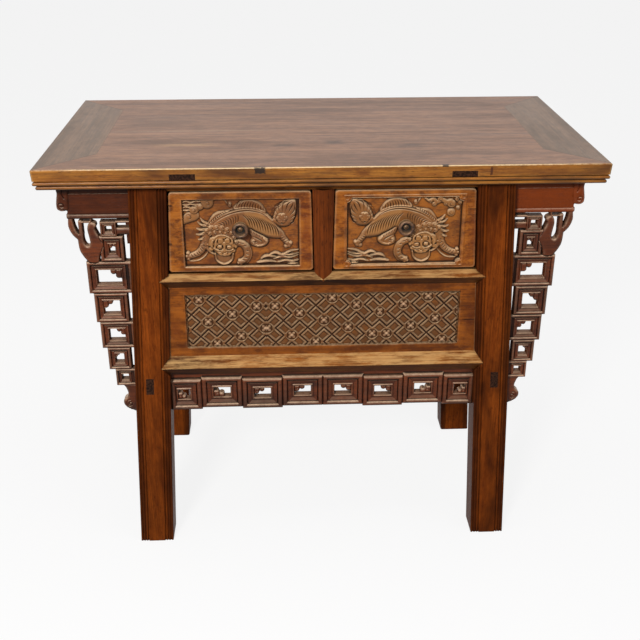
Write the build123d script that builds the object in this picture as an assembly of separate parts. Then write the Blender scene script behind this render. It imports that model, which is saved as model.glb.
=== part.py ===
from build123d import *
import os
from math import asin, cos, hypot, sin, sqrt

# Altar coffer with two drawers over a hidden chamber.
# Millimetres. X runs to the right, -Y to the front, +Z up.
# The origin is on the floor, under the middle of the table.

# ---- overall ----
width = 1070.0
depth = 560.0
height = 870.0

# ---- top: mitred frame, boards and battens ----
top_thickness = 40.0
top_rail_width = 103.0
edge_round = 2.5
edge_band = 22.0
bead_height = 8.0
bead_inset = 3.5
bead_bulge = 2.7
foot_bead_inset = 6.5
foot_bead_bulge = 1.5
quirk = 1.2
board_thickness = 11.0
board_count = 3
board_tongue = 8.0
board_tongue_thickness = 5.0
groove_gap = 1.0
batten_width = 48.0
batten_from_middle = 261.0
batten_lift = 2.0
batten_tenon = 13.0
dovetail_height = 3.0
dovetail_flare = 3.0
dovetail_shoulder = 2.0
corner_tenon_inset = 45.0
corner_tenon_width = 40.0
corner_tenon_thickness = 12.0
corner_tenon_cover = 1.0

# ---- legs ----
foot_inset = 127.0
leg_splay = 0.0493
leg_width = 72.0
leg_depth = 62.0
leg_setback = 32.0
leg_reed_count = 3
leg_reed = 4.8
leg_reed_gap = 1.0
leg_reed_depth = 3.0
leg_reed_rise = 0.9
leg_band_slope = 0.8
leg_back_chamfer = 3.0
leg_tenon_width = 36.0
leg_tenon_depth = 28.0
leg_tenon_height = 20.0

# ---- front and back rails, from the top down ----
upper_rail_height = 16.0
drawer_opening_height = 170.0
middle_rail_height = 30.0
panel_opening_height = 150.0
bottom_rail_height = 45.0
rail_depth = 45.0
rail_setback = 10.0
middle_rail_ridge_drop = 13.0
bottom_rail_ridge_drop = 27.0
tip_length = 17.0
tip_depth = 10.0
rail_tenon = 30.0
rail_tenon_thickness = 12.0
rail_tenon_setback = 18.0
rail_shoulder = 4.0
stile_top_half = 21.0
stile_bottom_half = 17.0
stile_tip = 17.0
stile_tenon = 8.0

# ---- sides and back ----
side_rail_thickness = 34.0
side_rail_inset = 12.0
upper_side_rail_height = 50.0
lower_side_rail_height = 54.0
lower_side_rail_rise = 9.0
through_tenon_height = 37.0
through_tenon_drop = 13.0
through_tenon_inset = 22.5
through_tenon_thickness = 16.0
stub_tenon = 20.0
panel_thickness = 12.0
panel_inset = 22.0
panel_groove = 6.0
back_panel_thickness = 10.0
back_panel_inset = 14.0

# ---- fixed front panel and chamber floor ----
front_panel_thickness = 20.0
fret_half_length = 276.0
fret_margin = 16.5
fret_sink = 3.0
floor_thickness = 12.0
floor_board_count = 3
floor_groove = 8.0

# ---- drawers ----
drawer_gap = 2.2
drawer_head_gap = 3.0
drawer_sill_gap = 3.5
drawer_end_gap = 37.0
drawer_side_thickness = 12.0
drawer_back_thickness = 12.0
drawer_bottom_thickness = 8.0
drawer_bottom_lift = 9.0
drawer_groove = 5.0
drawer_side_drop = 24.0
drawer_outer_inset = 13.0
drawer_inner_inset = 9.0
drawer_joint_count = 3
running_gap = 0.3
carving_half_length = 112.0
carving_head_margin = 19.0
carving_foot_margin = 14.0
carving_centre = 158.0
carving_sink = 6.0
carving_rise = 5.0
carving_notch = 9.0
# The carved lion's masses, from the field's middle: across, up, half width and half height.
lion_body = (2.0, 8.0, 52.0, 21.0)
lion_head = (48.0, -10.0, 21.0, 18.0)
lion_ball = (47.0, -38.0, 14.0, 13.0)
lion_tail = (-80.0, 16.0, 21.0, 25.0)

# ---- runners and guides ----
runner_thickness = 18.0
runner_tenon = 10.0
side_runner_width = 24.0
centre_runner_half = 40.0
guide_height = 20.0
guide_gap = 1.5
guide_leg_gap = 1.0

# ---- pulls ----
pull_from_middle = 160.0
pull_drop = 77.0
pull_rim_radius = 16.0
pull_wall = 3.5
pull_neck_radius = 9.0
pull_waist = 1.0
pull_length = 15.0
pull_hollow = 10.0
plate_radius = 14.0
plate_thickness = 1.5
pin_radius = 2.0
pin_head_radius = 5.0
pin_head_height = 2.5
pin_leg_length = 14.0
pin_leg_thickness = 1.6
pin_leg_half_width = 1.5
pin_head_gap = 1.0

# ---- wings and spandrels under the ends of the top ----
ornament_setback = 50.0
ornament_thickness = 20.0
ornament_tongue = 6.0
tongue_shoulder = 8.0
wing_reach = 118.0
wing_height = 63.0
bead_bar_height = 9.0
bead_bar_proud = 2.0
# The scroll at a wing's end: distance beyond the wing, drop below the top.
nose_outline = [(-4.0, 0.0), (16.0, 0.0), (15.0, 14.0), (14.0, 23.0), (17.0, 36.0), (18.0, 47.0),
                (16.0, 52.0), (9.0, 56.0), (-4.0, 55.0)]
spandrel_drop = 79.0
leg_side_bar = 3.0
upper_bar_rise = 1.5
upper_bar_thickness = 4.5
lower_bar_drop = 13.0
lower_bar_thickness = 14.0

# Square rings, from the top down. A ring with no gap is joined to the leg, and a hook fills one
# upper corner of a ring's opening.
ring_heights = [30.0, 53.0, 67.5, 63.5, 58.5, 49.5, 38.0]
ring_reaches = [58.0, 60.0, 87.0, 76.0, 67.0, 55.0, 41.0]
ring_leg_gaps = [27.0, 14.0, 0.0, 10.0, 0.0, 9.0, 0.0]
ring_bars = [9.0, 17.0, 18.0, 16.5, 16.0, 14.0, 12.0]
ring_hook_widths = [0.0, 14.0, 21.0, 19.0, 16.0, 9.0, 0.0]
ring_hook_heights = [0.0, 8.0, 18.0, 16.0, 14.0, 8.0, 0.0]
ring_hook_is_outer = [False, True, False, True, False, True, False]
# The bird beside the upper rings: distance beyond the leg, drop below the bead bar's foot.
bird_body = [(99.0, 6.0), (74.0, 6.0), (74.0, 0.0), (69.0, 0.0), (67.0, 11.0), (66.0, 17.0), (68.0, 22.0),
             (63.0, 35.0), (60.0, 46.0), (54.0, 46.0), (54.0, 62.0), (57.0, 64.0), (68.0, 84.0),
             (72.0, 93.0), (88.0, 93.0), (91.0, 85.0), (97.0, 75.0), (101.0, 63.0), (102.0, 44.0),
             (99.0, 33.0)]
bird_neck_opening = [(91.5, 10.0), (80.5, 10.0), (80.5, 14.0), (82.5, 23.0), (81.0, 35.0), (80.0, 52.0),
                     (86.0, 57.0), (92.0, 47.0), (92.0, 33.0)]
bird_crest = [(117.0, 0.0), (119.0, 18.0), (114.0, 31.0), (102.0, 46.0), (98.0, 44.0), (100.0, 34.0),
              (107.0, 15.0), (109.0, 0.0)]
# The scroll under the last ring: reach beyond the leg and drop below the ring.
tail_root = 23.0
tail_waist = (16.0, 12.0)
tail_neck = (19.0, 30.0)
tail_bulb = (30.0, 41.0)
tail_bulb_foot = (19.0, 57.0)
tail_lip = (12.0, 61.0)
tail_length = 63.0

# ---- apron under the bottom rail ----
apron_ring_height = 72.0
apron_drop = 15.0
apron_stagger = 4.0
apron_bar = 25.0
apron_end_bar = 14.0
apron_hook_width = 18.0
apron_hook_height = 12.0
apron_half_rings = 4
apron_last_share = 0.75
apron_strip_setback = 4.0
apron_strip_thickness = 10.0
apron_tongue_shoulder = 2.0

# How far two forms run into each other where they are fused into one piece.
overlap = 1.0

# ---- levels and planes that follow ----
under_top = height - top_thickness
drawers_top = under_top - upper_rail_height
drawers_bottom = drawers_top - drawer_opening_height
panel_top = drawers_bottom - middle_rail_height
panel_bottom = panel_top - panel_opening_height
case_bottom = panel_bottom - bottom_rail_height
floor_underside = case_bottom + lower_side_rail_rise
leg_face = -depth / 2 + leg_setback
leg_rear = leg_face + leg_depth
rail_rear = leg_face + rail_depth
face = leg_face + rail_setback
ornament_face = -depth / 2 + ornament_setback
ornament_rear = ornament_face + ornament_thickness

nodes = {}


def leg_outer(z):
    return width / 2 - foot_inset - leg_splay * z


def leg_inner(z):
    return leg_outer(z) - leg_width


def stile_half(z):
    share = (z - drawers_bottom) / (drawers_top - drawers_bottom)
    return stile_bottom_half + share * (stile_top_half - stile_bottom_half)


def block(x0, x1, y0, y1, z0, z1):
    return Pos((x0 + x1) / 2, (y0 + y1) / 2, (z0 + z1) / 2) * Box(x1 - x0, y1 - y0, z1 - z0)


def upright(points, y0, y1):
    """A plate from an outline of (x, z) points, between two depths."""
    outline = Polyline([(x, y0, z) for x, z in points], close=True)
    return extrude(make_face(outline), amount=y1 - y0, dir=(0, 1, 0))


def bar_along_x(points, x0, x1):
    """A bar from a section of (y, z) points."""
    section = Polyline([(x0, y, z) for y, z in points], close=True)
    return extrude(make_face(section), amount=x1 - x0, dir=(1, 0, 0))


def outline(place, start, steps):
    """A closed face. A step is one point for a straight run, or two for an arc through the first."""
    edges = []
    here = start
    for step in steps:
        if len(step) == 2:
            edges.append(ThreePointArc(place(here), place(step[0]), place(step[1])))
        else:
            edges.append(Line(place(here), place(step[0])))
        here = step[-1]
    return make_face(edges)


def beside_leg(inset, thickness, y0, y1, z0, z1):
    """A plate or bar on the right side that follows the leg's splay."""
    points = []
    for z, back in ((z0, inset + thickness), (z0, inset), (z1, inset), (z1, inset + thickness)):
        points.append((leg_outer(z) - back, z))
    return upright(points, y0, y1)


def between_legs(y0, y1, z0, z1, extra=0.0):
    points = [(-leg_inner(z0) - extra, z0), (leg_inner(z0) + extra, z0)]
    points += [(leg_inner(z1) + extra, z1), (-leg_inner(z1) - extra, z1)]
    return upright(points, y0, y1)


def left_of(piece):
    return mirror(piece, about=Plane.YZ)


def behind(piece):
    return mirror(piece, about=Plane.XZ)


def keep(name, *pieces):
    nodes[name] = [solid for piece in pieces for solid in piece.solids()]


# ======== top ========

def top_member(length):
    """One moulded, mitred member along X, with its outer edge on y = 0."""
    z = height
    groove = bead_inset + quirk
    bead_top = edge_band + quirk
    bead_foot = bead_top + bead_height
    foot_groove = foot_bead_inset + quirk
    foot_bead_top = bead_foot + quirk
    foot_bead_mid = (foot_bead_top + top_thickness) / 2
    corner = edge_round * (1 - sqrt(0.5))
    steps = [
        [(edge_round, 0)],
        [(corner, -corner), (0, -edge_round)],
        [(bead_inset / 3, -edge_band)],
        [(groove, -edge_band)],
        [(groove, -bead_top)],
        [(bead_inset - bead_bulge, -(bead_top + bead_foot) / 2), (groove, -bead_foot)],
        [(foot_groove, -bead_foot)],
        [(foot_groove, -foot_bead_top)],
        [(foot_bead_inset - foot_bead_bulge, -foot_bead_mid), (foot_groove, -top_thickness)],
        [(top_rail_width, -top_thickness)],
        [(top_rail_width, 0)],
    ]
    section = outline(lambda p: (-length / 2, p[0], z + p[1]), (top_rail_width, 0), steps)
    bar = extrude(section, amount=length, dir=(1, 0, 0))
    inner = length / 2 - top_rail_width
    mitre = Polyline([(-length / 2, 0, 0), (length / 2, 0, 0), (inner, top_rail_width, 0),
                      (-inner, top_rail_width, 0)], close=True)
    return bar & extrude(make_face(mitre), amount=height, dir=(0, 0, 1))


def make_boards():
    half_x = width / 2 - top_rail_width
    half_y = depth / 2 - top_rail_width
    low = height - board_thickness
    tongue = board_tongue
    panel = block(-half_x, half_x, -half_y, half_y, low, height)
    panel += block(-half_x - tongue, half_x + tongue, -half_y - tongue, half_y + tongue,
                   low, low + board_tongue_thickness)
    boards = []
    step = 2 * half_y / board_count
    for index in range(board_count):
        near = -half_y + index * step - (tongue if index == 0 else 0)
        far = -half_y + (index + 1) * step + (tongue if index == board_count - 1 else 0)
        boards.append(panel & block(-width / 2, width / 2, near, far, low, height))
    reach = tongue + groove_gap
    groove = block(-half_x - reach, half_x + reach, -half_y - reach, half_y + reach,
                   low, low + board_tongue_thickness)
    return boards, groove


def make_batten():
    """The right-hand batten, with its dovetail ridge; the tenons are added where they pass the frame."""
    half = batten_width / 2
    low = under_top + batten_lift
    seat = height - board_thickness
    ridge = half - dovetail_flare - dovetail_shoulder
    points = [(-half, low), (half, low), (half, seat), (ridge, seat),
              (ridge + dovetail_flare, seat + dovetail_height),
              (-ridge - dovetail_flare, seat + dovetail_height), (-ridge, seat), (-half, seat)]
    half_y = depth / 2 - top_rail_width
    return Pos(batten_from_middle, 0, 0) * upright(points, -half_y, half_y)


def make_top(leg_tenon):
    front = Pos(0, -depth / 2, 0) * top_member(width)
    right = Pos(width / 2, 0, 0) * Rot(0, 0, 90) * top_member(depth)
    tenon_top = height - board_thickness - corner_tenon_cover
    tenon_y = -depth / 2 + corner_tenon_inset
    tenon_zone = block(0, width / 2, tenon_y, tenon_y + corner_tenon_width,
                       tenon_top - corner_tenon_thickness, tenon_top)
    corner_tenon = right & tenon_zone
    for tenon in (corner_tenon, behind(corner_tenon)):
        right -= tenon
    front += corner_tenon
    front += left_of(corner_tenon)

    boards, groove = make_boards()
    batten = make_batten()
    seat = height - board_thickness
    zone = block(batten_from_middle - batten_width / 2, batten_from_middle + batten_width / 2,
                 -depth / 2, -depth / 2 + top_rail_width, seat - batten_tenon, seat)
    batten_end = front & zone
    front -= groove
    right -= groove
    for cutter in (batten_end, left_of(batten_end), leg_tenon, left_of(leg_tenon)):
        front -= cutter
    batten += batten_end
    batten += behind(batten_end)
    boards = [board - batten - left_of(batten) for board in boards]

    keep("top_frame_front", front)
    keep("top_frame_back", behind(front))
    keep("top_frame_right", right)
    keep("top_frame_left", left_of(right))
    keep("top_boards", *boards)
    keep("top_batten_right", batten)
    keep("top_batten_left", left_of(batten))


# ======== legs ========

def make_leg_blank():
    """The right front leg before its mortises: a reeded section along the splayed line."""
    low = leg_reed_depth
    pitch = leg_reed + leg_reed_gap
    reeded = leg_reed_count * pitch
    w = leg_width
    d = leg_depth
    c = leg_back_chamfer
    steps = []
    for index in range(leg_reed_count):
        start = index * pitch
        steps.append([(start, low)])
        steps.append([(start + leg_reed / 2, leg_reed_rise), (start + leg_reed, low)])
    steps.append([(reeded, low)])
    steps.append([(reeded + leg_band_slope, 0)])
    steps.append([(w - reeded - leg_band_slope, 0)])
    steps.append([(w - reeded, low)])
    for index in reversed(range(leg_reed_count)):
        start = w - index * pitch - leg_reed
        steps.append([(start, low)])
        steps.append([(start + leg_reed / 2, leg_reed_rise), (start + leg_reed, low)])
    steps.append([(w, d - c)])
    steps.append([(w - c, d)])
    steps.append([(c, d)])
    steps.append([(0, d - c)])
    section = outline(lambda p: (leg_outer(0) - p[0], leg_face + p[1], 0), (0, d - c), steps)
    leg = extrude(section, amount=under_top * hypot(1, leg_splay), dir=(-leg_splay, 0, 1))
    return leg + make_leg_tenon()


def make_leg_tenon():
    x = leg_outer(under_top) - leg_width / 2
    y = leg_face + leg_depth / 2
    return block(x - leg_tenon_width / 2, x + leg_tenon_width / 2,
                 y - leg_tenon_depth / 2, y + leg_tenon_depth / 2, under_top, under_top + leg_tenon_height)


# ======== rails ========

def make_rail(z0, z1, ridge_drop):
    """A front rail with a ridged face, pointed tips that sit in the legs' faces, and tenons."""
    ridge = z1 - ridge_drop
    section = [(face, z0), (leg_face, ridge), (face, z1), (rail_rear, z1), (rail_rear, z0)]
    bar = bar_along_x(section, -width / 2, width / 2)
    rail = bar & between_legs(leg_face, rail_rear, z0, z1)
    tip = bar & make_tip_pocket(z0, z1, ridge_drop)
    rail += tip
    rail += left_of(tip)
    return rail + rail_tenons(z0, z1)


def make_tip_pocket(z0, z1, ridge_drop):
    """The shallow pointed notch across a leg's reeds that takes a rail's right tip."""
    ridge = z1 - ridge_drop
    point = [(leg_inner(z0), z0), (leg_inner(ridge) + tip_length, ridge), (leg_inner(z1), z1),
             (leg_inner(z1) - overlap, z1), (leg_inner(z0) - overlap, z0)]
    return upright(point, leg_face, leg_face + tip_depth)


def rail_tenons(z0, z1):
    reach = leg_inner((z0 + z1) / 2) + rail_tenon
    near = leg_face + rail_tenon_setback
    return block(-reach, reach, near, near + rail_tenon_thickness, z0 + rail_shoulder, z1 - rail_shoulder)


def make_plain_rail(z0, z1):
    return between_legs(face, rail_rear, z0, z1) + rail_tenons(z0, z1)


def make_stile():
    """The tapered divider between the drawers, ridged, with a pointed foot in the middle rail."""
    top = drawers_top
    low = drawers_bottom
    half = stile_top_half
    section = Polyline([(0, leg_face, low - stile_tip), (half, face, low - stile_tip),
                        (half, rail_rear, low - stile_tip), (-half, rail_rear, low - stile_tip),
                        (-half, face, low - stile_tip)], close=True)
    bar = extrude(make_face(section), amount=top - low + stile_tip, dir=(0, 0, 1))
    shaft = upright([(-stile_half(low), low), (stile_half(low), low), (half, top), (-half, top)],
                    leg_face, rail_rear)
    foot = upright([(-stile_half(low), low), (0, low - stile_tip), (stile_half(low), low)],
                   leg_face, leg_face + tip_depth)
    near = leg_face + rail_tenon_setback
    tenon = block(-stile_half(low) / 2, stile_half(low) / 2, near, near + rail_tenon_thickness,
                  low - stile_tenon, top + stile_tenon)
    return (bar & (shaft + foot)) + tenon


def make_side_rails():
    """Right-hand side rails between the front and back legs; the lower one's tenons pass through."""
    upper = beside_leg(side_rail_inset, side_rail_thickness, leg_rear, -leg_rear,
                       under_top - upper_side_rail_height, under_top)
    upper += beside_leg(through_tenon_inset, through_tenon_thickness, leg_rear - stub_tenon,
                        stub_tenon - leg_rear, under_top - upper_side_rail_height + rail_shoulder,
                        under_top - rail_shoulder)
    low = floor_underside - lower_side_rail_height
    lower = beside_leg(side_rail_inset, side_rail_thickness, leg_rear, -leg_rear, low, floor_underside)
    tenon_top = floor_underside - through_tenon_drop
    lower += beside_leg(through_tenon_inset, through_tenon_thickness, leg_face, -leg_face,
                        tenon_top - through_tenon_height, tenon_top)
    return upper, lower


def make_side_panel():
    low = floor_underside
    top = under_top - upper_side_rail_height
    grow = panel_groove
    return beside_leg(panel_inset, panel_thickness, leg_rear - grow, grow - leg_rear, low - grow, top + grow)


def make_front_panel():
    """The fixed board in front of the chamber, tongued all round, with its sunk field."""
    rear = face + front_panel_thickness
    panel = between_legs(face, rear, panel_bottom, panel_top)
    tongue_near = face + front_panel_thickness / 3
    tongue_far = face + 2 * front_panel_thickness / 3
    panel += between_legs(tongue_near, tongue_far, panel_bottom - panel_groove,
                          panel_top + panel_groove, panel_groove)
    return panel - block(-fret_half_length, fret_half_length, face, face + fret_sink,
                         panel_bottom + fret_margin, panel_top - fret_margin)


def make_back_panel(z0, z1):
    rear = -leg_face - back_panel_inset
    return between_legs(rear - back_panel_thickness, rear, z0 - panel_groove, z1 + panel_groove, panel_groove)


def make_floor(legs):
    """Floor boards of the chamber, in the rails' grooves and on the lower side rails."""
    half_x = leg_outer(floor_underside + floor_thickness) - panel_inset - panel_thickness
    half_y = -rail_rear + floor_groove
    step = 2 * half_y / floor_board_count
    boards = []
    for index in range(floor_board_count):
        board = block(-half_x, half_x, -half_y + index * step, -half_y + (index + 1) * step,
                      floor_underside, floor_underside + floor_thickness)
        for leg in legs:
            board -= leg
        boards.append(board)
    return boards


def make_runners():
    """Drawer runners between the middle rails, and the guides that stand on them."""
    top = drawers_bottom
    low = top - runner_thickness
    near = rail_rear
    outer = leg_inner(drawers_bottom) - guide_leg_gap
    guide_inner = drawer_outer_side() + guide_gap
    inner = drawer_outer_side() - side_runner_width
    side = block(inner, outer, near, -near, low, top)
    tenon_low = low + runner_thickness / 3
    tenon_top = top - runner_thickness / 3
    side += block(inner, outer, near - runner_tenon, runner_tenon - near, tenon_low, tenon_top)
    half = centre_runner_half
    centre = block(-half, half, near, -near, low, top)
    centre += block(-half, half, near - runner_tenon, runner_tenon - near, tenon_low, tenon_top)
    side_guide = block(guide_inner, outer, near, -near, top, top + guide_height)
    guide_half = drawer_inner_side() - guide_gap
    centre_guide = block(-guide_half, guide_half, near, -near, top, top + guide_height)
    return side, centre, side_guide, centre_guide


# ======== drawers ========

def drawer_outer_side():
    """Outer face of the drawer's outer side board, clear of the leg all the way up."""
    return leg_inner(drawers_bottom) - drawer_outer_inset


def drawer_inner_side():
    """Face of the drawer's inner side board, beside the centre guide."""
    return stile_bottom_half + drawer_inner_inset


def make_drawer_front(notched):
    rear = face + front_panel_thickness
    low = drawers_bottom + drawer_sill_gap
    top = drawers_top - drawer_head_gap
    gap = drawer_gap
    board = upright([(stile_half(low) + gap, low), (leg_inner(low) - gap, low),
                     (leg_inner(top) - gap, top), (stile_half(top) + gap, top)], face, rear)
    z0 = drawers_bottom + carving_foot_margin
    z1 = drawers_top - carving_head_margin
    x0 = carving_centre - carving_half_length
    x1 = carving_centre + carving_half_length
    field = block(x0, x1, face, face + carving_sink, z0, z1)
    if notched:
        half = carving_notch / 2
        for x in (x0 + half, x1 - half):
            for z in (z0 + half, z1 - half):
                field -= block(x - half, x + half, face, face + carving_sink, z - half, z + half)
    board -= field
    ground = face + carving_sink
    return board + make_lion_mass(ground)


def make_lion_mass(ground):
    """The plain masses of the carved lion: body, head, ball and tail."""
    mid_z = (drawers_bottom + drawers_top) / 2
    mass = None
    for across, up, half_x, half_z in (lion_body, lion_head, lion_ball, lion_tail):
        centre = (carving_centre + across, ground, mid_z + up)
        disc = Plane(centre, x_dir=(1, 0, 0), z_dir=(0, -1, 0)) * Ellipse(half_x, half_z)
        form = extrude(disc, amount=carving_rise, dir=(0, -1, 0))
        mass = form if mass is None else mass + form
    return mass


def make_pull():
    """A cup-shaped pull, its plate and the split pin that holds them, on the axis y through the origin."""
    seat = face + carving_sink - carving_rise
    base = seat - plate_thickness
    rim = base - pull_length
    rim_mid = pull_rim_radius - pull_wall / 2
    hollow_floor = rim + pull_hollow
    steps = [
        [(pull_neck_radius, base)],
        [(pull_neck_radius - pull_waist, base - pull_length / 3), (pull_rim_radius, rim + pull_wall / 2)],
        [(rim_mid, rim), (pull_rim_radius - pull_wall, rim + pull_wall / 2)],
        [(pin_head_radius + pin_head_gap, hollow_floor)],
        [(0, hollow_floor)],
        [(0, base)],
    ]
    cup = revolve(outline(lambda p: (p[0], p[1], 0), (0, base), steps), axis=Axis.Y)
    plate_edge = [(plate_radius, seat)]
    plate_lip = [(plate_radius - plate_thickness / 2, base)]
    plate_steps = [plate_edge, plate_lip, [(0, base)], [(0, seat)]]
    plate = revolve(outline(lambda p: (p[0], p[1], 0), (0, seat), plate_steps), axis=Axis.Y)
    back = face + front_panel_thickness
    leg_end = back + pin_leg_thickness
    dome_radius = (pin_head_radius**2 + pin_head_height**2) / (2 * pin_head_height)
    half_turn = asin(pin_head_radius / dome_radius) / 2
    dome_top = hollow_floor - pin_head_height
    dome_mid = (dome_radius * sin(half_turn), dome_top + dome_radius * (1 - cos(half_turn)))
    pin_steps = [
        [(pin_radius, leg_end)],
        [(pin_radius, hollow_floor)],
        [(pin_head_radius, hollow_floor)],
        [dome_mid, (0, dome_top)],
        [(0, leg_end)],
    ]
    pin = revolve(outline(lambda p: (p[0], p[1], 0), (0, leg_end), pin_steps), axis=Axis.Y)
    shaft = Plane((0, hollow_floor, 0), x_dir=(1, 0, 0), z_dir=(0, 1, 0)) * Circle(pin_radius)
    shaft = extrude(shaft, amount=leg_end - hollow_floor, dir=(0, 1, 0))
    pin += block(-pin_leg_half_width, pin_leg_half_width, back, leg_end, -pin_leg_length, pin_leg_length)
    return cup - shaft, plate - shaft, pin, shaft


def make_drawer(name, notched, place):
    """One drawer, built on the right and put in place by the given function."""
    front = make_drawer_front(notched)
    rear = face + front_panel_thickness
    end = -leg_face - back_panel_inset - back_panel_thickness - drawer_end_gap
    floor = drawers_bottom + running_gap
    top = drawers_top - drawer_side_drop
    x0 = drawer_inner_side()
    x1 = drawer_outer_side()
    thick = drawer_side_thickness

    sides = []
    joint = (top - floor) / (2 * drawer_joint_count + 1)
    for left in (x0, x1 - thick):
        side = block(left, left + thick, rear, end, floor, top)
        for index in range(drawer_joint_count):
            low = max(floor + (2 * index + 1) * joint, drawers_bottom + drawer_sill_gap)
            side += block(left, left + thick, rear - thick, rear, low, low + joint)
        sides.append(side)

    back = block(x0 + thick, x1 - thick, end - drawer_back_thickness, end, floor + drawer_sill_gap, top)
    for index in range(drawer_joint_count):
        low = floor + (2 * index + 1) * joint
        back += block(x0, x1, end - drawer_back_thickness, end, low, low + joint)

    base = drawers_bottom + drawer_bottom_lift
    grow = drawer_groove
    bottom = block(x0 + thick - grow, x1 - thick + grow, rear - grow, end - drawer_back_thickness + grow,
                   base, base + drawer_bottom_thickness)

    back -= bottom
    sides = [side - bottom - back for side in sides]
    for cutter in [bottom] + sides:
        front -= cutter

    cup, plate, pin, shaft = make_pull()
    at = Pos(pull_from_middle, 0, drawers_top - pull_drop)
    front -= at * shaft
    keep(f"{name}_front", place(front))
    keep(f"{name}_sides", *[place(side) for side in sides])
    keep(f"{name}_back", place(back))
    keep(f"{name}_bottom", place(bottom))
    keep(f"{name}_pull", place(at * cup))
    keep(f"{name}_pull_plate", place(at * plate))
    keep(f"{name}_pull_pin", place(at * pin))


# ======== ornament ========

def make_wing():
    """The right wing board with its bead bar and scroll nose, tongued into the leg."""
    low = under_top - wing_height
    end = leg_outer(under_top) + wing_reach
    bar_low = low - bead_bar_height
    bar_end = end + bead_bar_proud
    proud = ornament_face - bead_bar_proud
    wing = upright([(leg_outer(low), low), (end, low), (end, under_top), (leg_outer(under_top), under_top)],
                   ornament_face, ornament_rear)
    bead_bar = [(leg_outer(bar_low), bar_low), (bar_end, bar_low), (bar_end, low), (leg_outer(low), low)]
    wing += upright(bead_bar, proud, ornament_rear)
    nose = [(end + out, under_top - drop) for out, drop in nose_outline]
    wing += upright(nose, proud, ornament_rear)
    return wing + leg_tongue(bar_low, under_top - tongue_shoulder)


def leg_tongue(z0, z1):
    """The tongue that joins a piece of ornament to the leg's side."""
    middle = (ornament_face + ornament_rear) / 2
    half = ornament_tongue / 2
    return beside_leg(-overlap, ornament_tongue + overlap, middle - half, middle + half, z0, z1)


def make_ring(index, top):
    """The solid and the opening of one square ring of the spandrel."""
    low = top - ring_heights[index]
    line = leg_outer((top + low) / 2)
    outer = line + ring_reaches[index]
    bar = ring_bars[index]
    if ring_leg_gaps[index] == 0:
        body = upright([(leg_outer(low), low), (outer, low), (outer, top), (leg_outer(top), top)],
                       ornament_face, ornament_rear)
        inner = line + leg_side_bar
    else:
        inner = line + ring_leg_gaps[index]
        body = block(inner, outer, ornament_face, ornament_rear, low, top)
    x0 = inner + bar
    x1 = outer - bar
    opening = block(x0, x1, ornament_face, ornament_rear, low + bar, top - bar)
    if ring_hook_widths[index] > 0:
        corner = x1 - ring_hook_widths[index] if ring_hook_is_outer[index] else x0
        opening -= block(corner, corner + ring_hook_widths[index], ornament_face, ornament_rear,
                         top - bar - ring_hook_heights[index], top - bar)
    return body, opening


def make_bird():
    """The stylised bird beside the upper rings."""
    line = leg_outer(under_top)
    top = under_top - wing_height - bead_bar_height

    def plate(points):
        return upright([(line + out, top - drop) for out, drop in points], ornament_face, ornament_rear)

    return plate(bird_body) - plate(bird_neck_opening) + plate(bird_crest)


def make_spandrel():
    """The right spandrel: bird, square rings that step in towards the leg, and a tail scroll."""
    spandrel = make_bird()
    openings = []
    tongues = []
    upper = under_top - spandrel_drop
    top = upper
    for index, ring_height in enumerate(ring_heights):
        low = top - ring_height
        body, opening = make_ring(index, top)
        spandrel += body
        openings.append(opening)
        if ring_leg_gaps[index] == 0:
            tongues.append(leg_tongue(low + tongue_shoulder, top - tongue_shoulder))
        top = low
    for opening in openings:
        spandrel -= opening
    join = leg_outer(upper) + ring_leg_gaps[0] + overlap
    for bar_top, thickness in ((upper + upper_bar_rise, upper_bar_thickness),
                               (upper - lower_bar_drop, lower_bar_thickness)):
        low = bar_top - thickness
        bar = [(leg_outer(bar_top), bar_top), (leg_outer(low), low), (join, low), (join, bar_top)]
        spandrel += upright(bar, ornament_face, ornament_rear)
    spandrel += make_tail(top)
    for tongue in tongues:
        spandrel += tongue
    return spandrel


def make_tail(top):
    """The scroll that ends the spandrel: a waist, then a round bulb that dies into the leg."""
    line = leg_outer(top)
    foot = top - tail_length

    def at(point):
        return (line + point[0], top - point[1])

    steps = [
        [(line + tail_root, top)],
        [at(tail_waist), at(tail_neck)],
        [at(tail_bulb), at(tail_bulb_foot)],
        [at(tail_lip), (leg_outer(foot), foot)],
        [(line, top)],
    ]
    section = outline(lambda p: (p[0], ornament_face, p[1]), (line, top), steps)
    return extrude(section, amount=ornament_thickness, dir=(0, 1, 0))


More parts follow.
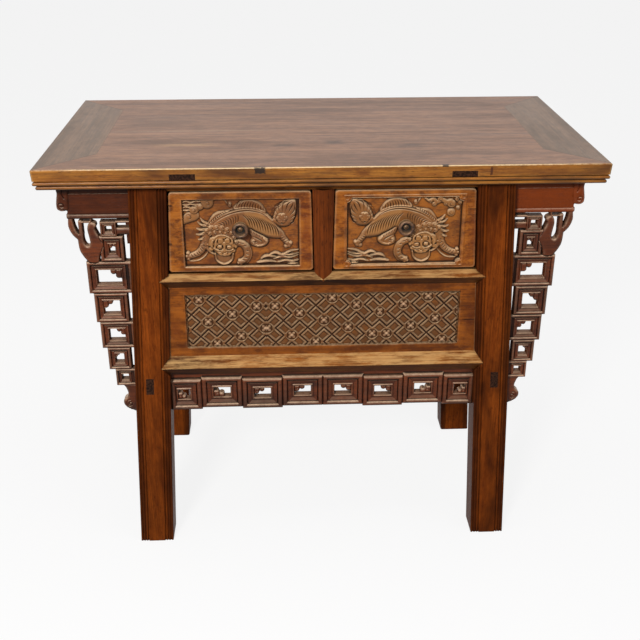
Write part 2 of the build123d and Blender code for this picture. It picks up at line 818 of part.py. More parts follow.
def make_apron():
    """Square rings side by side under the bottom rail, every other one set lower."""
    top = case_bottom - apron_drop
    far = leg_inner(top - apron_ring_height / 2)
    pitch = far / (apron_half_rings - 1 + apron_last_share)
    half = None
    for index in range(apron_half_rings):
        lowered = index % 2 == 1
        z1 = top - (apron_stagger if lowered else 0)
        z0 = z1 - apron_ring_height
        x0 = index * pitch
        x1 = min((index + 1) * pitch, far)
        ring = block(x0, x1, ornament_face, ornament_rear, z0, z1)
        bar = apron_bar
        end_bar = bar
        if index == apron_half_rings - 1:
            ring = upright([(x0, z0), (leg_inner(z0), z0), (leg_inner(z1), z1), (x0, z1)],
                           ornament_face, ornament_rear)
            end_bar = apron_end_bar
        wide = min(apron_hook_width, (x1 - x0 - bar - end_bar) / 2)
        hook_low = z1 - bar - apron_hook_height
        hook_top = z1 - bar
        if index >= apron_half_rings / 2:
            hook_low = z0 + bar
            hook_top = z0 + bar + apron_hook_height
        opening = block(x0 + bar, x1 - end_bar, ornament_face, ornament_rear, z0 + bar, z1 - bar)
        opening -= block(x1 - end_bar - wide, x1 - end_bar, ornament_face, ornament_rear, hook_low, hook_top)
        ring -= opening
        half = ring if half is None else half + ring
    strip_near = ornament_face + apron_strip_setback
    strip = [(0, top), (leg_inner(top), top), (leg_inner(case_bottom), case_bottom), (0, case_bottom)]
    strip = upright(strip, strip_near, strip_near + apron_strip_thickness)
    half += strip
    shoulder = apron_tongue_shoulder
    half += block(0, leg_inner(case_bottom) - shoulder, strip_near + shoulder,
                  strip_near + apron_strip_thickness - shoulder, case_bottom, case_bottom + ornament_tongue)
    lowest = leg_inner(top)
    half += block(lowest - apron_bar, lowest, strip_near, strip_near + apron_strip_thickness,
                  top - apron_stagger, top)
    return half + left_of(half)


# ======== assembly ========

upper_rail = make_plain_rail(drawers_top, under_top)
middle_rail = make_rail(panel_top, drawers_bottom, middle_rail_ridge_drop)
bottom_rail = make_rail(case_bottom, panel_bottom, bottom_rail_ridge_drop)
back_upper_rail = behind(upper_rail)
back_middle_rail = behind(make_plain_rail(panel_top, drawers_bottom))
back_bottom_rail = behind(make_plain_rail(case_bottom, panel_bottom))
stile = make_stile()
upper_side_rail, lower_side_rail = make_side_rails()
side_panel = make_side_panel()
front_panel = make_front_panel()
back_upper_panel = make_back_panel(drawers_bottom, drawers_top)
back_lower_panel = make_back_panel(panel_bottom, panel_top)
side_runner, centre_runner, side_guide, centre_guide = make_runners()
wing = make_wing()
spandrel = make_spandrel()
apron = make_apron()

leg_blank = make_leg_blank()
front_leg = leg_blank - make_tip_pocket(panel_top, drawers_bottom, middle_rail_ridge_drop)
front_leg -= make_tip_pocket(case_bottom, panel_bottom, bottom_rail_ridge_drop)
for joined in (upper_rail, middle_rail, bottom_rail, front_panel, upper_side_rail, lower_side_rail,
               side_panel, wing, spandrel):
    front_leg -= joined
back_leg = behind(leg_blank)
for joined in (back_upper_rail, back_middle_rail, back_bottom_rail, back_upper_panel, back_lower_panel,
               upper_side_rail, lower_side_rail, side_panel, behind(wing), behind(spandrel)):
    back_leg -= joined

floor_boards = make_floor([leg_blank, left_of(leg_blank), behind(leg_blank), left_of(behind(leg_blank))])
for board in floor_boards:
    bottom_rail -= board
    back_bottom_rail -= board
upper_side_rail -= side_panel
lower_side_rail -= side_panel
upper_rail -= stile
middle_rail -= stile
for runner in (side_runner, left_of(side_runner), centre_runner):
    middle_rail -= runner
    back_middle_rail -= runner
middle_rail -= front_panel
bottom_rail -= front_panel
bottom_rail -= apron
back_upper_rail -= back_upper_panel
back_middle_rail = back_middle_rail - back_upper_panel - back_lower_panel
back_bottom_rail -= back_lower_panel

make_top(make_leg_tenon())
keep("leg_front_right", front_leg)
keep("leg_front_left", left_of(front_leg))
keep("leg_back_right", back_leg)
keep("leg_back_left", left_of(back_leg))
keep("upper_rail_front", upper_rail)
keep("middle_rail_front", middle_rail)
keep("bottom_rail_front", bottom_rail)
keep("centre_stile", stile)
keep("upper_rail_back", back_upper_rail)
keep("middle_rail_back", back_middle_rail)
keep("bottom_rail_back", back_bottom_rail)
keep("upper_side_rail_right", upper_side_rail)
keep("upper_side_rail_left", left_of(upper_side_rail))
keep("lower_side_rail_right", lower_side_rail)
keep("lower_side_rail_left", left_of(lower_side_rail))
keep("side_panel_right", side_panel)
keep("side_panel_left", left_of(side_panel))
keep("back_panel_upper", back_upper_panel)
keep("back_panel_lower", back_lower_panel)
keep("chamber_front_panel", front_panel)
keep("chamber_floor", *floor_boards)
keep("drawer_runner_right", side_runner)
keep("drawer_runner_left", left_of(side_runner))
keep("drawer_runner_centre", centre_runner)
keep("drawer_guide_right", side_guide)
keep("drawer_guide_left", left_of(side_guide))
keep("drawer_guide_centre", centre_guide)
keep("apron", apron)
keep("wing_front_right", wing)
keep("wing_front_left", left_of(wing))
keep("wing_back_right", behind(wing))
keep("wing_back_left", left_of(behind(wing)))
keep("spandrel_front_right", spandrel)
keep("spandrel_front_left", left_of(spandrel))
keep("spandrel_back_right", behind(spandrel))
keep("spandrel_back_left", left_of(behind(spandrel)))
make_drawer("drawer_right", True, lambda piece: piece)
make_drawer("drawer_left", False, left_of)

os.makedirs("parts", exist_ok=True)
for name, solids in nodes.items():
    shape = solids[0] if len(solids) == 1 else Compound(solids)
    export_step(shape, f"parts/{name}.step")
    print(name, len(solids))
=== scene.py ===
from math import cos, pi, radians, sin, sqrt

import bmesh
import bpy
import numpy as np
from mathutils import Euler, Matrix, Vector


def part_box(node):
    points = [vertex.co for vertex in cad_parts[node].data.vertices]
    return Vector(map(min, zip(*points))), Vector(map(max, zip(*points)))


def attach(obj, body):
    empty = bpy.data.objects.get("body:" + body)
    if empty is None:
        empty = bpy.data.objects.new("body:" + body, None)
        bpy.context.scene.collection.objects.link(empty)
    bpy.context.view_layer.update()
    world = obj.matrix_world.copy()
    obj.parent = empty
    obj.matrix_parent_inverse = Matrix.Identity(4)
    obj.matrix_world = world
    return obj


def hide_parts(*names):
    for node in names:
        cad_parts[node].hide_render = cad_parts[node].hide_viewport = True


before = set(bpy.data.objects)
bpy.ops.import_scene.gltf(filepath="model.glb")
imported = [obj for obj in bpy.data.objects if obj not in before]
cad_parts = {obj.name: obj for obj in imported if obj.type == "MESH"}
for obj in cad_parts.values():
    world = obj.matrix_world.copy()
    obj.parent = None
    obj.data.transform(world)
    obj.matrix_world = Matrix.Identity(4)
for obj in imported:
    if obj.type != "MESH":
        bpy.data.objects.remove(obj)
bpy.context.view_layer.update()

MM = 0.001

# Lengths are in millimetres. X runs to the right, -Y to the front and +Z up, and the floor is z = 0.


def edges_of(node):
    """Lowest and highest corner of a solid."""
    low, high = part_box(node)
    return np.array(low) / MM, np.array(high) / MM


# ======== shading tools ========

class Value:
    """A node's output that Python's operators work on. Each operation adds a Math node."""

    def __init__(self, finish, node, output=0):
        self.finish = finish
        self.node = node
        self.socket = node.outputs[output]

    def __getitem__(self, output):
        return Value(self.finish, self.node, output)

    def maths(self, operation, first, second=0.0):
        return self.finish.node("ShaderNodeMath", {"operation": operation}, {0: first, 1: second})

    def __add__(self, other):
        return self.maths("ADD", self, other)

    def __sub__(self, other):
        return self.maths("SUBTRACT", self, other)

    def __rsub__(self, other):
        return self.maths("SUBTRACT", other, self)

    def __mul__(self, other):
        return self.maths("MULTIPLY", self, other)

    def __abs__(self):
        return self.maths("ABSOLUTE", self)

    __radd__ = __add__
    __rmul__ = __mul__

    def most(self, other):
        return self.maths("MAXIMUM", self, other)

    def sine(self):
        return self.maths("SINE", self)

    def spread(self, amount):
        """A noise with its swing about its middle multiplied."""
        return (self - 0.5) * amount + 0.5

    def step(self, low, high):
        """0 below low, 1 above high, with an eased ramp between."""
        return self.finish.node("ShaderNodeMapRange", {"interpolation_type": "SMOOTHSTEP"},
                                {"Value": self, "From Min": low, "From Max": high})


class Finish:
    """The shader nodes of a material or of the world."""

    def __init__(self, owner):
        self.owner = owner
        owner.use_nodes = True
        self.tree = owner.node_tree
        self.tree.nodes.clear()

    def node(self, kind, settings=None, inputs=None, output=0):
        """Any node: its settings first, then the values or links of its inputs."""
        node = self.tree.nodes.new(kind)
        for name, setting in (settings or {}).items():
            setattr(node, name, setting)
        for name, value in (inputs or {}).items():
            if isinstance(value, Value):
                self.tree.links.new(value.socket, node.inputs[name])
            else:
                node.inputs[name].default_value = value
        return Value(self, node, output) if node.outputs else None

    def place(self):
        return self.node("ShaderNodeTexCoord", output="Object")

    def vector(self, operation, first, second=(0.0, 0.0, 0.0), output="Vector"):
        return self.node("ShaderNodeVectorMath", {"operation": operation}, {0: first, 1: second}, output)

    def parts(self, vector):
        """A vector's numbers, read by the names X, Y and Z."""
        return self.node("ShaderNodeSeparateXYZ", inputs={0: vector})

    def noise(self, vector, scale, detail=3.0, roughness=0.55, distortion=0.0):
        return self.node("ShaderNodeTexNoise", {"normalize": True}, {
            "Vector": vector, "Scale": scale, "Detail": detail, "Roughness": roughness,
            "Distortion": distortion})

    def fibres(self, grain, along, across, detail, roughness, distortion=0.0):
        """Noise drawn out along the grain, with a scale along it and one across it."""
        return self.noise(self.vector("MULTIPLY", grain, (along, across, across)), 1.0, detail, roughness,
                          distortion)

    def blend(self, share, first, second):
        settings = {"data_type": "RGBA", "blend_type": "MIX", "clamp_factor": True}
        return self.node("ShaderNodeMix", settings, {0: share, 6: first, 7: second}, output=2)

    def bump(self, height, distance, strength):
        return self.node("ShaderNodeBump", inputs={"Height": height, "Distance": distance * MM,
                                                   "Strength": strength})

    def covered(self, reach, **settings):
        """How much of what lies within reach hides a place."""
        settings["samples"] = 8
        return 1 - self.node("ShaderNodeAmbientOcclusion", settings, {"Distance": reach * MM}, output="AO")

    def hollows(self, reach):
        """1 in corners and under ledges, 0 on open faces."""
        return self.covered(reach)

    def edges(self, reach):
        """1 on outer edges, 0 on flat faces."""
        return self.covered(reach, inside=True, only_local=True)

    def tilt(self):
        """1 on faces that look straight up, 0 on upright ones and -1 on undersides."""
        return self.parts(self.node("ShaderNodeNewGeometry", output="Normal"))["Z"]

    def surface(self, inputs):
        """Closes a material with one shader, and gives the material."""
        shader = self.node("ShaderNodeBsdfPrincipled", inputs=inputs)
        self.node("ShaderNodeOutputMaterial", inputs={"Surface": shader})
        return self.owner


def new_finish(name):
    return Finish(bpy.data.materials.new(name))


def rgb(red, green, blue):
    """A colour given as it looks on screen, 0 to 255."""
    def linear(level):
        level /= 255
        return level / 12.92 if level <= 0.04045 else ((level + 0.055) / 1.055) ** 2.4
    return (linear(red), linear(green), linear(blue), 1.0)


# ======== finishes ========

# Near black: painted shade in corners, cuts and on undersides, and the real dark joints.
shade_and_joint_colour = rgb(18, 10, 6)
# Dark brown painted shade in the carved cuts.
cut_shade_colour = rgb(52, 26, 10)


def grain_of(finish, along, seed):
    """Place within a log of its own, with X along the grain. Along is the number of the grain's axis."""
    parts = finish.parts(finish.place())
    order = {0: "XYZ", 1: "YXZ", 2: "ZXY"}[along]
    turned = finish.node("ShaderNodeCombineXYZ", inputs={k: parts[axis] for k, axis in enumerate(order)})
    return finish.vector("ADD", turned, (3.1 * seed, 1.7 * seed, 2.3 * seed))


def planed_wood(finish, grain, tones, figure, pore, blotch):
    """Colour, height and roughness of old wood: growth lines, fibres, dark pores and uneven stain.

    Tones are the light and the middle wood, the dark stain, and the pale of wood bared by wear,
    which also serves for painted highlights.
    """
    light, middle, deep, _ = tones
    drift = finish.fibres(grain, 1.5, 8.0, 2.0, 0.5)
    across = finish.parts(grain)
    growth = across["Y"] * 0.8 + across["Z"] * 0.6 + drift * 0.06
    rings_per_metre = 85.0
    bands = (growth * (2 * pi * rings_per_metre)).sine() * 0.5 + 0.5
    wide = finish.fibres(grain, 1.6, 36.0, 4.0, 0.6, 0.2)
    fine = finish.fibres(grain, 5.0, 240.0, 4.0, 0.7)
    patches = finish.fibres(grain, 3.5, 14.0, 4.0, 0.6, 0.4)
    mottle = finish.fibres(grain, 30.0, 70.0, 4.0, 0.65)
    lines = finish.fibres(grain, 3.5, 170.0, 3.0, 0.6).step(0.52, 0.68)
    hairs = finish.fibres(grain, 3.0, 480.0, 2.0, 0.5).step(0.56, 0.68)
    flecks = finish.fibres(grain, 60.0, 260.0, 3.0, 0.6).step(0.55, 0.68)
    ticks = finish.fibres(grain, 40.0, 900.0, 2.0, 0.5).step(0.56, 0.7)

    tone = wide.spread(2.8) * 0.35 + fine.spread(3.2) * 0.35 + mottle.spread(3.0) * 0.3
    tone = tone + (bands - 0.5) * (figure * 0.3)
    colour = finish.blend(tone.step(0.18, 0.82), middle, light)
    stain = (patches.step(0.44, 0.68) * blotch).most(lines * pore)
    stain = stain.most(hairs * (1.1 * pore)).most(flecks * (1.25 * pore))
    colour = finish.blend(stain, colour, deep)
    colour = finish.blend(bands.step(0.7, 1.0) * fine.step(0.4, 0.6) * (0.6 * figure), colour, deep)
    colour = finish.blend(ticks * pore, colour, deep)
    height = fine * 0.5 + wide * 0.3 - ticks * 0.6 - lines * 0.3
    return colour, height, patches * 0.16 + fine * 0.1


def age(finish, colour, tones, grain, painted_shade, wear=0.0, bevel=0.0):
    """Painted shade in the corners, in deep recesses and on undersides, bare wood along the edges, and a
    painted highlight on bevels that look up.
    """
    worn_and_lit = tones[3]
    tilt = finish.tilt()
    # Painted highlight: bevels that look up are lightened towards the pale tone, in patches and streaks.
    if bevel:
        patchy = finish.fibres(grain, 13.0, 90.0, 5.0, 0.75).step(0.4, 0.6)
        streaks = finish.fibres(grain, 5.0, 260.0, 3.0, 0.6).step(0.4, 0.62)
        lit = tilt.step(0.15, 0.45) * (patchy * 0.65 + streaks * 0.3)
        colour = finish.blend(lit * bevel, colour, worn_and_lit)
    if wear:
        patchy = finish.noise(grain, 45.0, 3.0).step(0.35, 0.65)
        colour = finish.blend(finish.edges(3.0).step(0.3, 0.8) * patchy * wear, colour, worn_and_lit)
    # Painted shade: corners, nooks and deep recesses, found by ambient occlusion, and faces that look down
    # are darkened.
    uneven = finish.noise(grain, 22.0, 3.0) * 0.7 + 0.6
    nooks = finish.hollows(5.0).step(0.3, 0.85) * 0.85
    corners = finish.hollows(14.0).step(0.25, 0.9) * uneven
    recesses = finish.hollows(70.0).step(0.45, 1.0) * 0.6
    undersides = (0 - tilt).step(0.08, 0.6) * 0.85
    return finish.blend(corners.most(recesses).most(nooks).most(undersides) * painted_shade, colour, shade_and_joint_colour)


def marked(finish, colour, spots):
    """Dent marks, smudges, painted shadows and painted highlights: ragged boxes, given by centre, half size,
    stain, strength and softness.
    """
    place = finish.place()
    ragged = finish.noise(place, 220.0, 3.0, 0.7) * 0.9 - 0.45
    for centre, half, stain, strength, soft in spots:
        off = finish.vector("SUBTRACT", place, tuple(c * MM for c in centre))
        off = finish.vector("DIVIDE", off, tuple(h * MM for h in half))
        off = finish.parts(finish.vector("ABSOLUTE", off))
        reach = off["X"].most(off["Y"]).most(off["Z"]) + ragged
        colour = finish.blend((1 - reach.step(0.75 - soft, 1.15)) * strength, colour, stain)
    return colour


def jointed(finish, colour, joints):
    """Thin dark joints, mirrored over both planes: lines a*|x| + b*|y| = c."""
    place = finish.vector("ABSOLUTE", finish.place())
    wear = finish.noise(finish.place(), 60.0, 3.0) * 0.7 + 0.25
    for a, b, c in joints:
        off = abs(finish.vector("DOT_PRODUCT", place, (a, b, 0.0), "Value") - c * MM)
        colour = finish.blend((1 - off.step(0.4 * MM, 1.5 * MM)) * wear, colour, shade_and_joint_colour)
    return colour


def reeded(finish, colour, tone, slant, middle, half):
    """Painted shade on the reeds and sides of a leg, beyond half from its slanting middle line
    |x| + slant*z = middle.
    """
    across = finish.vector("ABSOLUTE", finish.place())
    off = abs(finish.vector("DOT_PRODUCT", across, (1.0, 0.0, slant), "Value") - middle * MM)
    uneven = finish.noise(finish.place(), 30.0, 4.0, 0.65) * 0.6 + 0.35
    return finish.blend(off.step(half * MM, (half + 7.0) * MM) * uneven, colour, tone)


def wood(name, along, tones, seed, figure=0.5, pore=0.4, blotch=0.8, polish=0.42, gloss=0.07, coat=0.0,
         painted_shade=0.85, wear=0.5, bevel=0.0, spots=(), below=None, joints=(), reeds=None):
    """A finish for planed pieces. Below gives a height under which the wood has other tones.
    Bevel sets the strength of a painted highlight on bevels that look up, and reeds, when given, darken a
    leg's reeds and sides with painted shade.
    """
    finish = new_finish(name)
    grain = grain_of(finish, along, seed)
    colour, height, rough = planed_wood(finish, grain, tones, figure, pore, blotch)
    if below:
        level, tones = below
        edge = planed_wood(finish, grain, tones, 0.6, 0.5, 0.9)[0]
        up = finish.parts(finish.place())["Z"]
        colour = finish.blend(up.step((level - 0.4) * MM, (level + 0.2) * MM), edge, colour)
    colour = age(finish, colour, tones, grain, painted_shade, wear, bevel)
    colour = jointed(finish, marked(finish, colour, spots), joints)
    if reeds:
        colour = reeded(finish, colour, tones[2], *reeds)
    return finish.surface({
        "Base Color": colour, "Roughness": rough + (polish - 0.12), "Normal": finish.bump(height, 0.5, 0.5),
        "Specular IOR Level": gloss, "Coat Weight": coat, "Coat Roughness": 0.2})


def tenoned_wood(name, along, tones, seed, plane, end_tones):
    """Wood whose sawn ends, beyond a plane on Y either way, show dark end grain."""
    finish = new_finish(name)
    grain = grain_of(finish, along, seed)
    colour, height, rough = planed_wood(finish, grain, tones, 0.4, 0.4, 0.8)
    colour = age(finish, colour, tones, grain, 0.85, 0.4)
    place = finish.place()
    rings = (finish.noise(place, 40.0, 2.0) * 70.0).sine() * 0.5 + 0.5
    pits = finish.noise(place, 700.0, 3.0, 0.7)
    end = finish.blend((rings * 0.4 + pits * 0.8).step(0.3, 0.9), end_tones[1], end_tones[0])
    at_end = abs(finish.parts(place)["Y"]).step((plane - 0.3) * MM, plane * MM)
    return finish.surface({
        "Base Color": finish.blend(at_end, colour, end), "Roughness": rough + at_end * 0.3 + 0.3,
        "Normal": finish.bump(height + (pits + rings * 0.5) * at_end, 0.6, 0.6), "Specular IOR Level": 0.07})


def carved_wood(name, tones, seed, hide=None, glow=None, figure=0.3, crest=1.0, hollow=1.0, lit=0.6,
                shade=0.7, gloss=0.12, polish=0.4, painted_shade=0.6, wear=0.15, dappled=0.0, spots=()):
    """Carved wood: painted shade in its cuts and on faces that look down, a painted highlight where it
    looks up, and pale crests, bared by wear, with more painted highlight where they look up.

    Hide and glow tint the marked forms; lit and shade are the strengths of the painted highlight
    on faces that look up and of the painted shade on faces that look down.
    """
    finish = new_finish(name)
    grain = grain_of(finish, 0, seed)
    light, _, deep, worn_and_lit = tones
    colour, height, rough = planed_wood(finish, grain, tones, figure, 0.35, 0.7)

    def mark(kind):
        return finish.node("ShaderNodeAttribute", {"attribute_name": kind}, output="Fac")

    proud = mark("proud")
    dapple = finish.noise(finish.place(), 90.0, 4.0, 0.65)
    speck = finish.noise(finish.place(), 420.0, 3.0, 0.7)
    if dappled:
        stain = finish.fibres(grain, 26.0, 44.0, 5.0, 0.7)
        colour = finish.blend(stain.step(0.48, 0.62) * dappled, colour, deep)
        colour = finish.blend((1 - stain).step(0.5, 0.64) * dappled, colour, light)
        colour = finish.blend(speck.step(0.6, 0.72) * dappled, colour, deep)
    if hide:
        colour = finish.blend(mark("figure") * (dapple.spread(2.0) * 0.5 + 0.45), colour, hide)
        colour = finish.blend(mark("glow") * (dapple * 0.3 + 0.6), colour, glow)
    tilt = finish.tilt()
    # Painted highlight on faces that look up.
    up = tilt.step(0.2, 0.7) * (1 - tilt.step(0.93, 0.99) * 0.5) * (dapple.spread(2.4) * 0.6 + 0.45)
    # Pale crests: wear, and on faces that look up also a painted highlight.
    rub_and_sheen = (proud + (dapple - 0.5) * 1.4 + (speck - 0.5) * 0.8).step(0.1 / crest, 1.6 / crest)
    rub_and_sheen = rub_and_sheen * (tilt.step(0.0, 0.4) * 0.5 + wear)
    colour = finish.blend(rub_and_sheen.most(up * lit), colour, worn_and_lit)
    # Painted shade, dark brown, in the carved cuts.
    colour = finish.blend(mark("ink") * 0.85, colour, cut_shade_colour)
    # Painted shade, near black, round the carving's low places and on faces that look down.
    cuts = (0 - proud + (dapple - 0.5) * 0.5).step(0.05, 1.1 / hollow) * 0.85
    cut_and_underside_shade = cuts.most((0 - tilt).step(0.12, 0.7) * shade)
    colour = finish.blend(cut_and_underside_shade, colour, shade_and_joint_colour)
    colour = marked(finish, age(finish, colour, tones, grain, painted_shade), spots)
    return finish.surface({
        "Base Color": colour, "Roughness": rough + cut_and_underside_shade * 0.3 + (polish - 0.1),
        "Normal": finish.bump(height + speck * 0.6 + dapple * 0.4, 0.6, 0.6), "Specular IOR Level": gloss})


def old_bronze(name, rim=None):
    """Cast bronze, nearly black, brown where hands keep rubbing it, with a painted highlight where it looks
    up, and painted shade, near black, inside a cup's rim and in its hollows.
    """
    finish = new_finish(name)
    place = finish.place()
    cloud = finish.noise(place, 130.0, 3.0, 0.6)
    speck = finish.noise(place, 900.0, 3.0, 0.7)
    colour = finish.blend(cloud.step(0.35, 0.7), rgb(58, 37, 24), rgb(118, 82, 56))
    # Painted highlight on faces that look up.
    colour = finish.blend(finish.tilt().step(0.1, 0.9) * 0.5, colour, rgb(172, 136, 98))
    colour = finish.blend(finish.edges(2.5).step(0.3, 0.75), colour, rgb(190, 150, 106))
    metal = 0.55 - speck * 0.3
    rough = speck * 0.25 + 0.3
    if rim:
        # Inside the cup: painted shade, near black, turning brown as a painted highlight where its floor
        # looks up.
        deep = finish.parts(place)["Y"].step((rim + 2.5) * MM, (rim + 5.0) * MM)
        painted_cup_shade = finish.blend(finish.tilt().step(0.25, 0.95) * (cloud + 0.3), rgb(9, 7, 4), rgb(92, 70, 50))
        colour = finish.blend(deep, colour, painted_cup_shade)
        metal = metal - deep * 0.7
        rough = rough + deep * 0.5
    # Painted shade in the hollows.
    colour = finish.blend(finish.hollows(12.0).step(0.3, 0.95) * 0.8, colour, rgb(13, 12, 8))
    return finish.surface({
        "Base Color": colour, "Metallic": metal, "Roughness": rough,
        "Normal": finish.bump(cloud + speck * 0.4, 0.5, 0.5)})


def dress(names, material):
    """Gives solids of the frame a finish."""
    for name in names:
        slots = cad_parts[name].data.materials
        slots.clear()
        slots.append(material)


# ======== shaping tools ========

def box_gap(x, z, x0, x1, z0, z1):
    """How far a place lies outside an upright rectangle, less than 0 inside. Its corners stay mitred."""
    return np.maximum(np.maximum(x0 - x, x - x1), np.maximum(z0 - z, z - z1))


def polygon_gap(x, z, points):
    """How far a place lies outside a closed outline, less than 0 inside."""
    nearest = np.full(x.shape, 1e6)
    inside = np.zeros(x.shape, bool)
    for (ax, az), (bx, bz) in zip(points, np.roll(points, -1, axis=0)):
        ex, ez = bx - ax, bz - az
        share = np.clip(((x - ax) * ex + (z - az) * ez) / max(ex * ex + ez * ez, 1e-9), 0, 1)
        nearest = np.minimum(nearest, np.hypot(x - ax - share * ex, z - az - share * ez))
        if az != bz:
            inside ^= ((az > z) != (bz > z)) & (x < ax + (z - az) / ez * ex)
    return np.where(inside, -nearest, nearest)


def strap_gap(x, z, points, radii):
    """How far a place lies outside a strap whose half width changes from end to end."""
    radii = np.interp(np.linspace(0, 1, len(points)), np.linspace(0, 1, len(radii)), radii)
    gap = np.full(x.shape, 1e6)
    for (ax, az), (bx, bz), ra, rb in zip(points, points[1:], radii, radii[1:]):
        ex, ez = bx - ax, bz - az
        share = np.clip(((x - ax) * ex + (z - az) * ez) / max(ex * ex + ez * ez, 1e-9), 0, 1)
        radius = ra + share * (rb - ra)
        gap = np.minimum(gap, np.hypot(x - ax - share * ex, z - az - share * ez) - radius)
    return gap


def flowing(points, closed=False, parts=6):
    """A smooth line through some points."""
    p = np.asarray(points, float)
    p = np.vstack([p[-1], p, p[:2]]) if closed else np.vstack([2 * p[0] - p[1], p, 2 * p[-1] - p[-2]])
    t = np.linspace(0, 1, parts, endpoint=False)[:, None]
    spans = []
    for a, b, c, d in zip(p, p[1:], p[2:], p[3:]):
        spans.append(0.5 * (2 * b + (c - a) * t + (2 * a - 5 * b + 4 * c - d) * t**2
                            + (3 * b - a - 3 * c + d) * t**3))
    line = np.vstack(spans)
    return line if closed else np.vstack([line, p[-2]])


def rounded(share):
    """Fall of a quarter round: 0 at its crest, where share is 0, and 1 at its foot."""
    return 1 - np.sqrt(1 - share**2)


def bead(place, width, height):
    """Depth below its crest across a half-round bead; place runs from 0 to width."""
    return height * rounded(np.clip(place / width * 2 - 1, -1, 1))


def soften(field, cells):
    """A field blurred over some grid cells."""
    reach = int(3 * cells)
    weights = np.exp(-0.5 * (np.arange(-reach, reach + 1) / cells) ** 2)
    weights /= weights.sum()
    for axis in (0, 1):
        moved = np.moveaxis(field, axis, 0)
        padded = np.pad(moved, [(reach, reach)] + [(0, 0)] * (moved.ndim - 1), mode="edge")
        total = sum(weight * padded[k:k + moved.shape[0]] for k, weight in enumerate(weights))
        field = np.moveaxis(total, 0, axis)
    return field


def grid_lines(low, high, step, keys=()):
    """Grid lines about a step apart that meet each key place, with one line beyond each end."""
    stops = sorted({low, high, *[key for key in keys if low < key < high]})
    lines = [low - step]
    for start, end in zip(stops, stops[1:]):
        count = max(1, round((end - start) / step))
        lines.extend(np.linspace(start, end, count, endpoint=False))
    return np.array(lines + [high, high + step])


def trimmed_grid(x, z, level):
    """The part of a grid where level < 0, cut along its outline.

    Gives its corners' places, the grid corner each takes its marks from, its faces, and its outline as pairs
    of corners.
    """
    rows, columns = level.shape
    inside = level < 0
    places = [np.column_stack([x[inside], z[inside]])]
    source = np.arange(level.size).reshape(level.shape)
    sources = [source[inside]]
    count = int(inside.sum())
    number = np.full(level.shape, -1)
    number[inside] = np.arange(count)

    crossings = []
    for dj, di in ((0, 1), (1, 0)):
        a = (slice(0, rows - dj), slice(0, columns - di))
        b = (slice(dj, rows), slice(di, columns))
        cut = inside[a] != inside[b]
        share = level[a][cut] / (level[a][cut] - level[b][cut])
        places.append(np.column_stack([x[a][cut] + share * (x[b][cut] - x[a][cut]),
                                       z[a][cut] + share * (z[b][cut] - z[a][cut])]))
        sources.append(np.where(inside[a][cut], source[a][cut], source[b][cut]))
        numbers = np.full(cut.shape, -1)
        numbers[cut] = count + np.arange(cut.sum())
        count += int(cut.sum())
        crossings.append(numbers)
    along, up = crossings

    whole = inside[:-1, :-1] & inside[:-1, 1:] & inside[1:, 1:] & inside[1:, :-1]
    faces = np.column_stack([number[:-1, :-1][whole], number[:-1, 1:][whole],
                             number[1:, 1:][whole], number[1:, :-1][whole]]).tolist()
    part = (inside[:-1, :-1] | inside[:-1, 1:] | inside[1:, 1:] | inside[1:, :-1]) & ~whole
    outline = []
    for j, i in np.argwhere(part).tolist():
        corner = [(j, i), (j, i + 1), (j + 1, i + 1), (j + 1, i)]
        side = [along[j, i], up[j, i + 1], along[j + 1, i], up[j, i]]
        face = []
        entering = []
        for k in range(4):
            here, there = inside[corner[k]], inside[corner[(k + 1) % 4]]
            if here:
                face.append(int(number[corner[k]]))
            if here != there:
                face.append(int(side[k]))
                entering.append((int(side[k]), bool(here)))
        if not entering[0][1]:
            entering = entering[1:] + entering[:1]
        faces.append(face)
        for leaving, arriving in zip(entering[::2], entering[1::2]):
            outline.append((leaving[0], arriving[0]))
    return np.vstack(places), np.concatenate(sources), faces, outline


def carved_board(name, xs, zs, gap, depth, near, far, blur=3.0, facing=-1, plain_back=False, paint=None):
    """A board whose outline and openings follow gap < 0. Its face is at near plus depth, and its back at far.

    Each corner of its mesh keeps how far it stands proud of its surroundings, and the shares of any paint.
    """
    x, z = np.meshgrid(xs, zs)
    level = gap(x, z)
    level = np.where(np.abs(level) < 1e-4, -1e-4, level)
    sunk = depth(x, z)
    filled = np.where(level < 0, sunk, np.max(sunk[level < 0]) + 2)
    proud = soften(filled, blur) - filled
    places, sources, faces, outline = trimmed_grid(x, z, level)
    x, z = places.T
    front = np.column_stack([x, near + depth(x, z), z])
    marks = {"proud": proud.ravel()[sources], **(paint(x, z) if paint else {})}

    total = len(front)
    if plain_back:
        follows = dict(outline)
        loop = [outline[0][0]]
        while follows[loop[-1]] != loop[0]:
            loop.append(follows[loop[-1]])
        back = front[loop]
        behind = {corner: total + k for k, corner in enumerate(loop)}
        faces.append([behind[corner] for corner in reversed(loop)])
    else:
        back = front.copy()
        behind = range(total, 2 * total)
        faces += [[behind[corner] for corner in reversed(face)] for face in faces]
    back[:, 1] = far
    faces += [(q, p, behind[p], behind[q]) for p, q in outline]
    return solid_mesh(name, np.vstack([front, back]), faces, marks, facing)


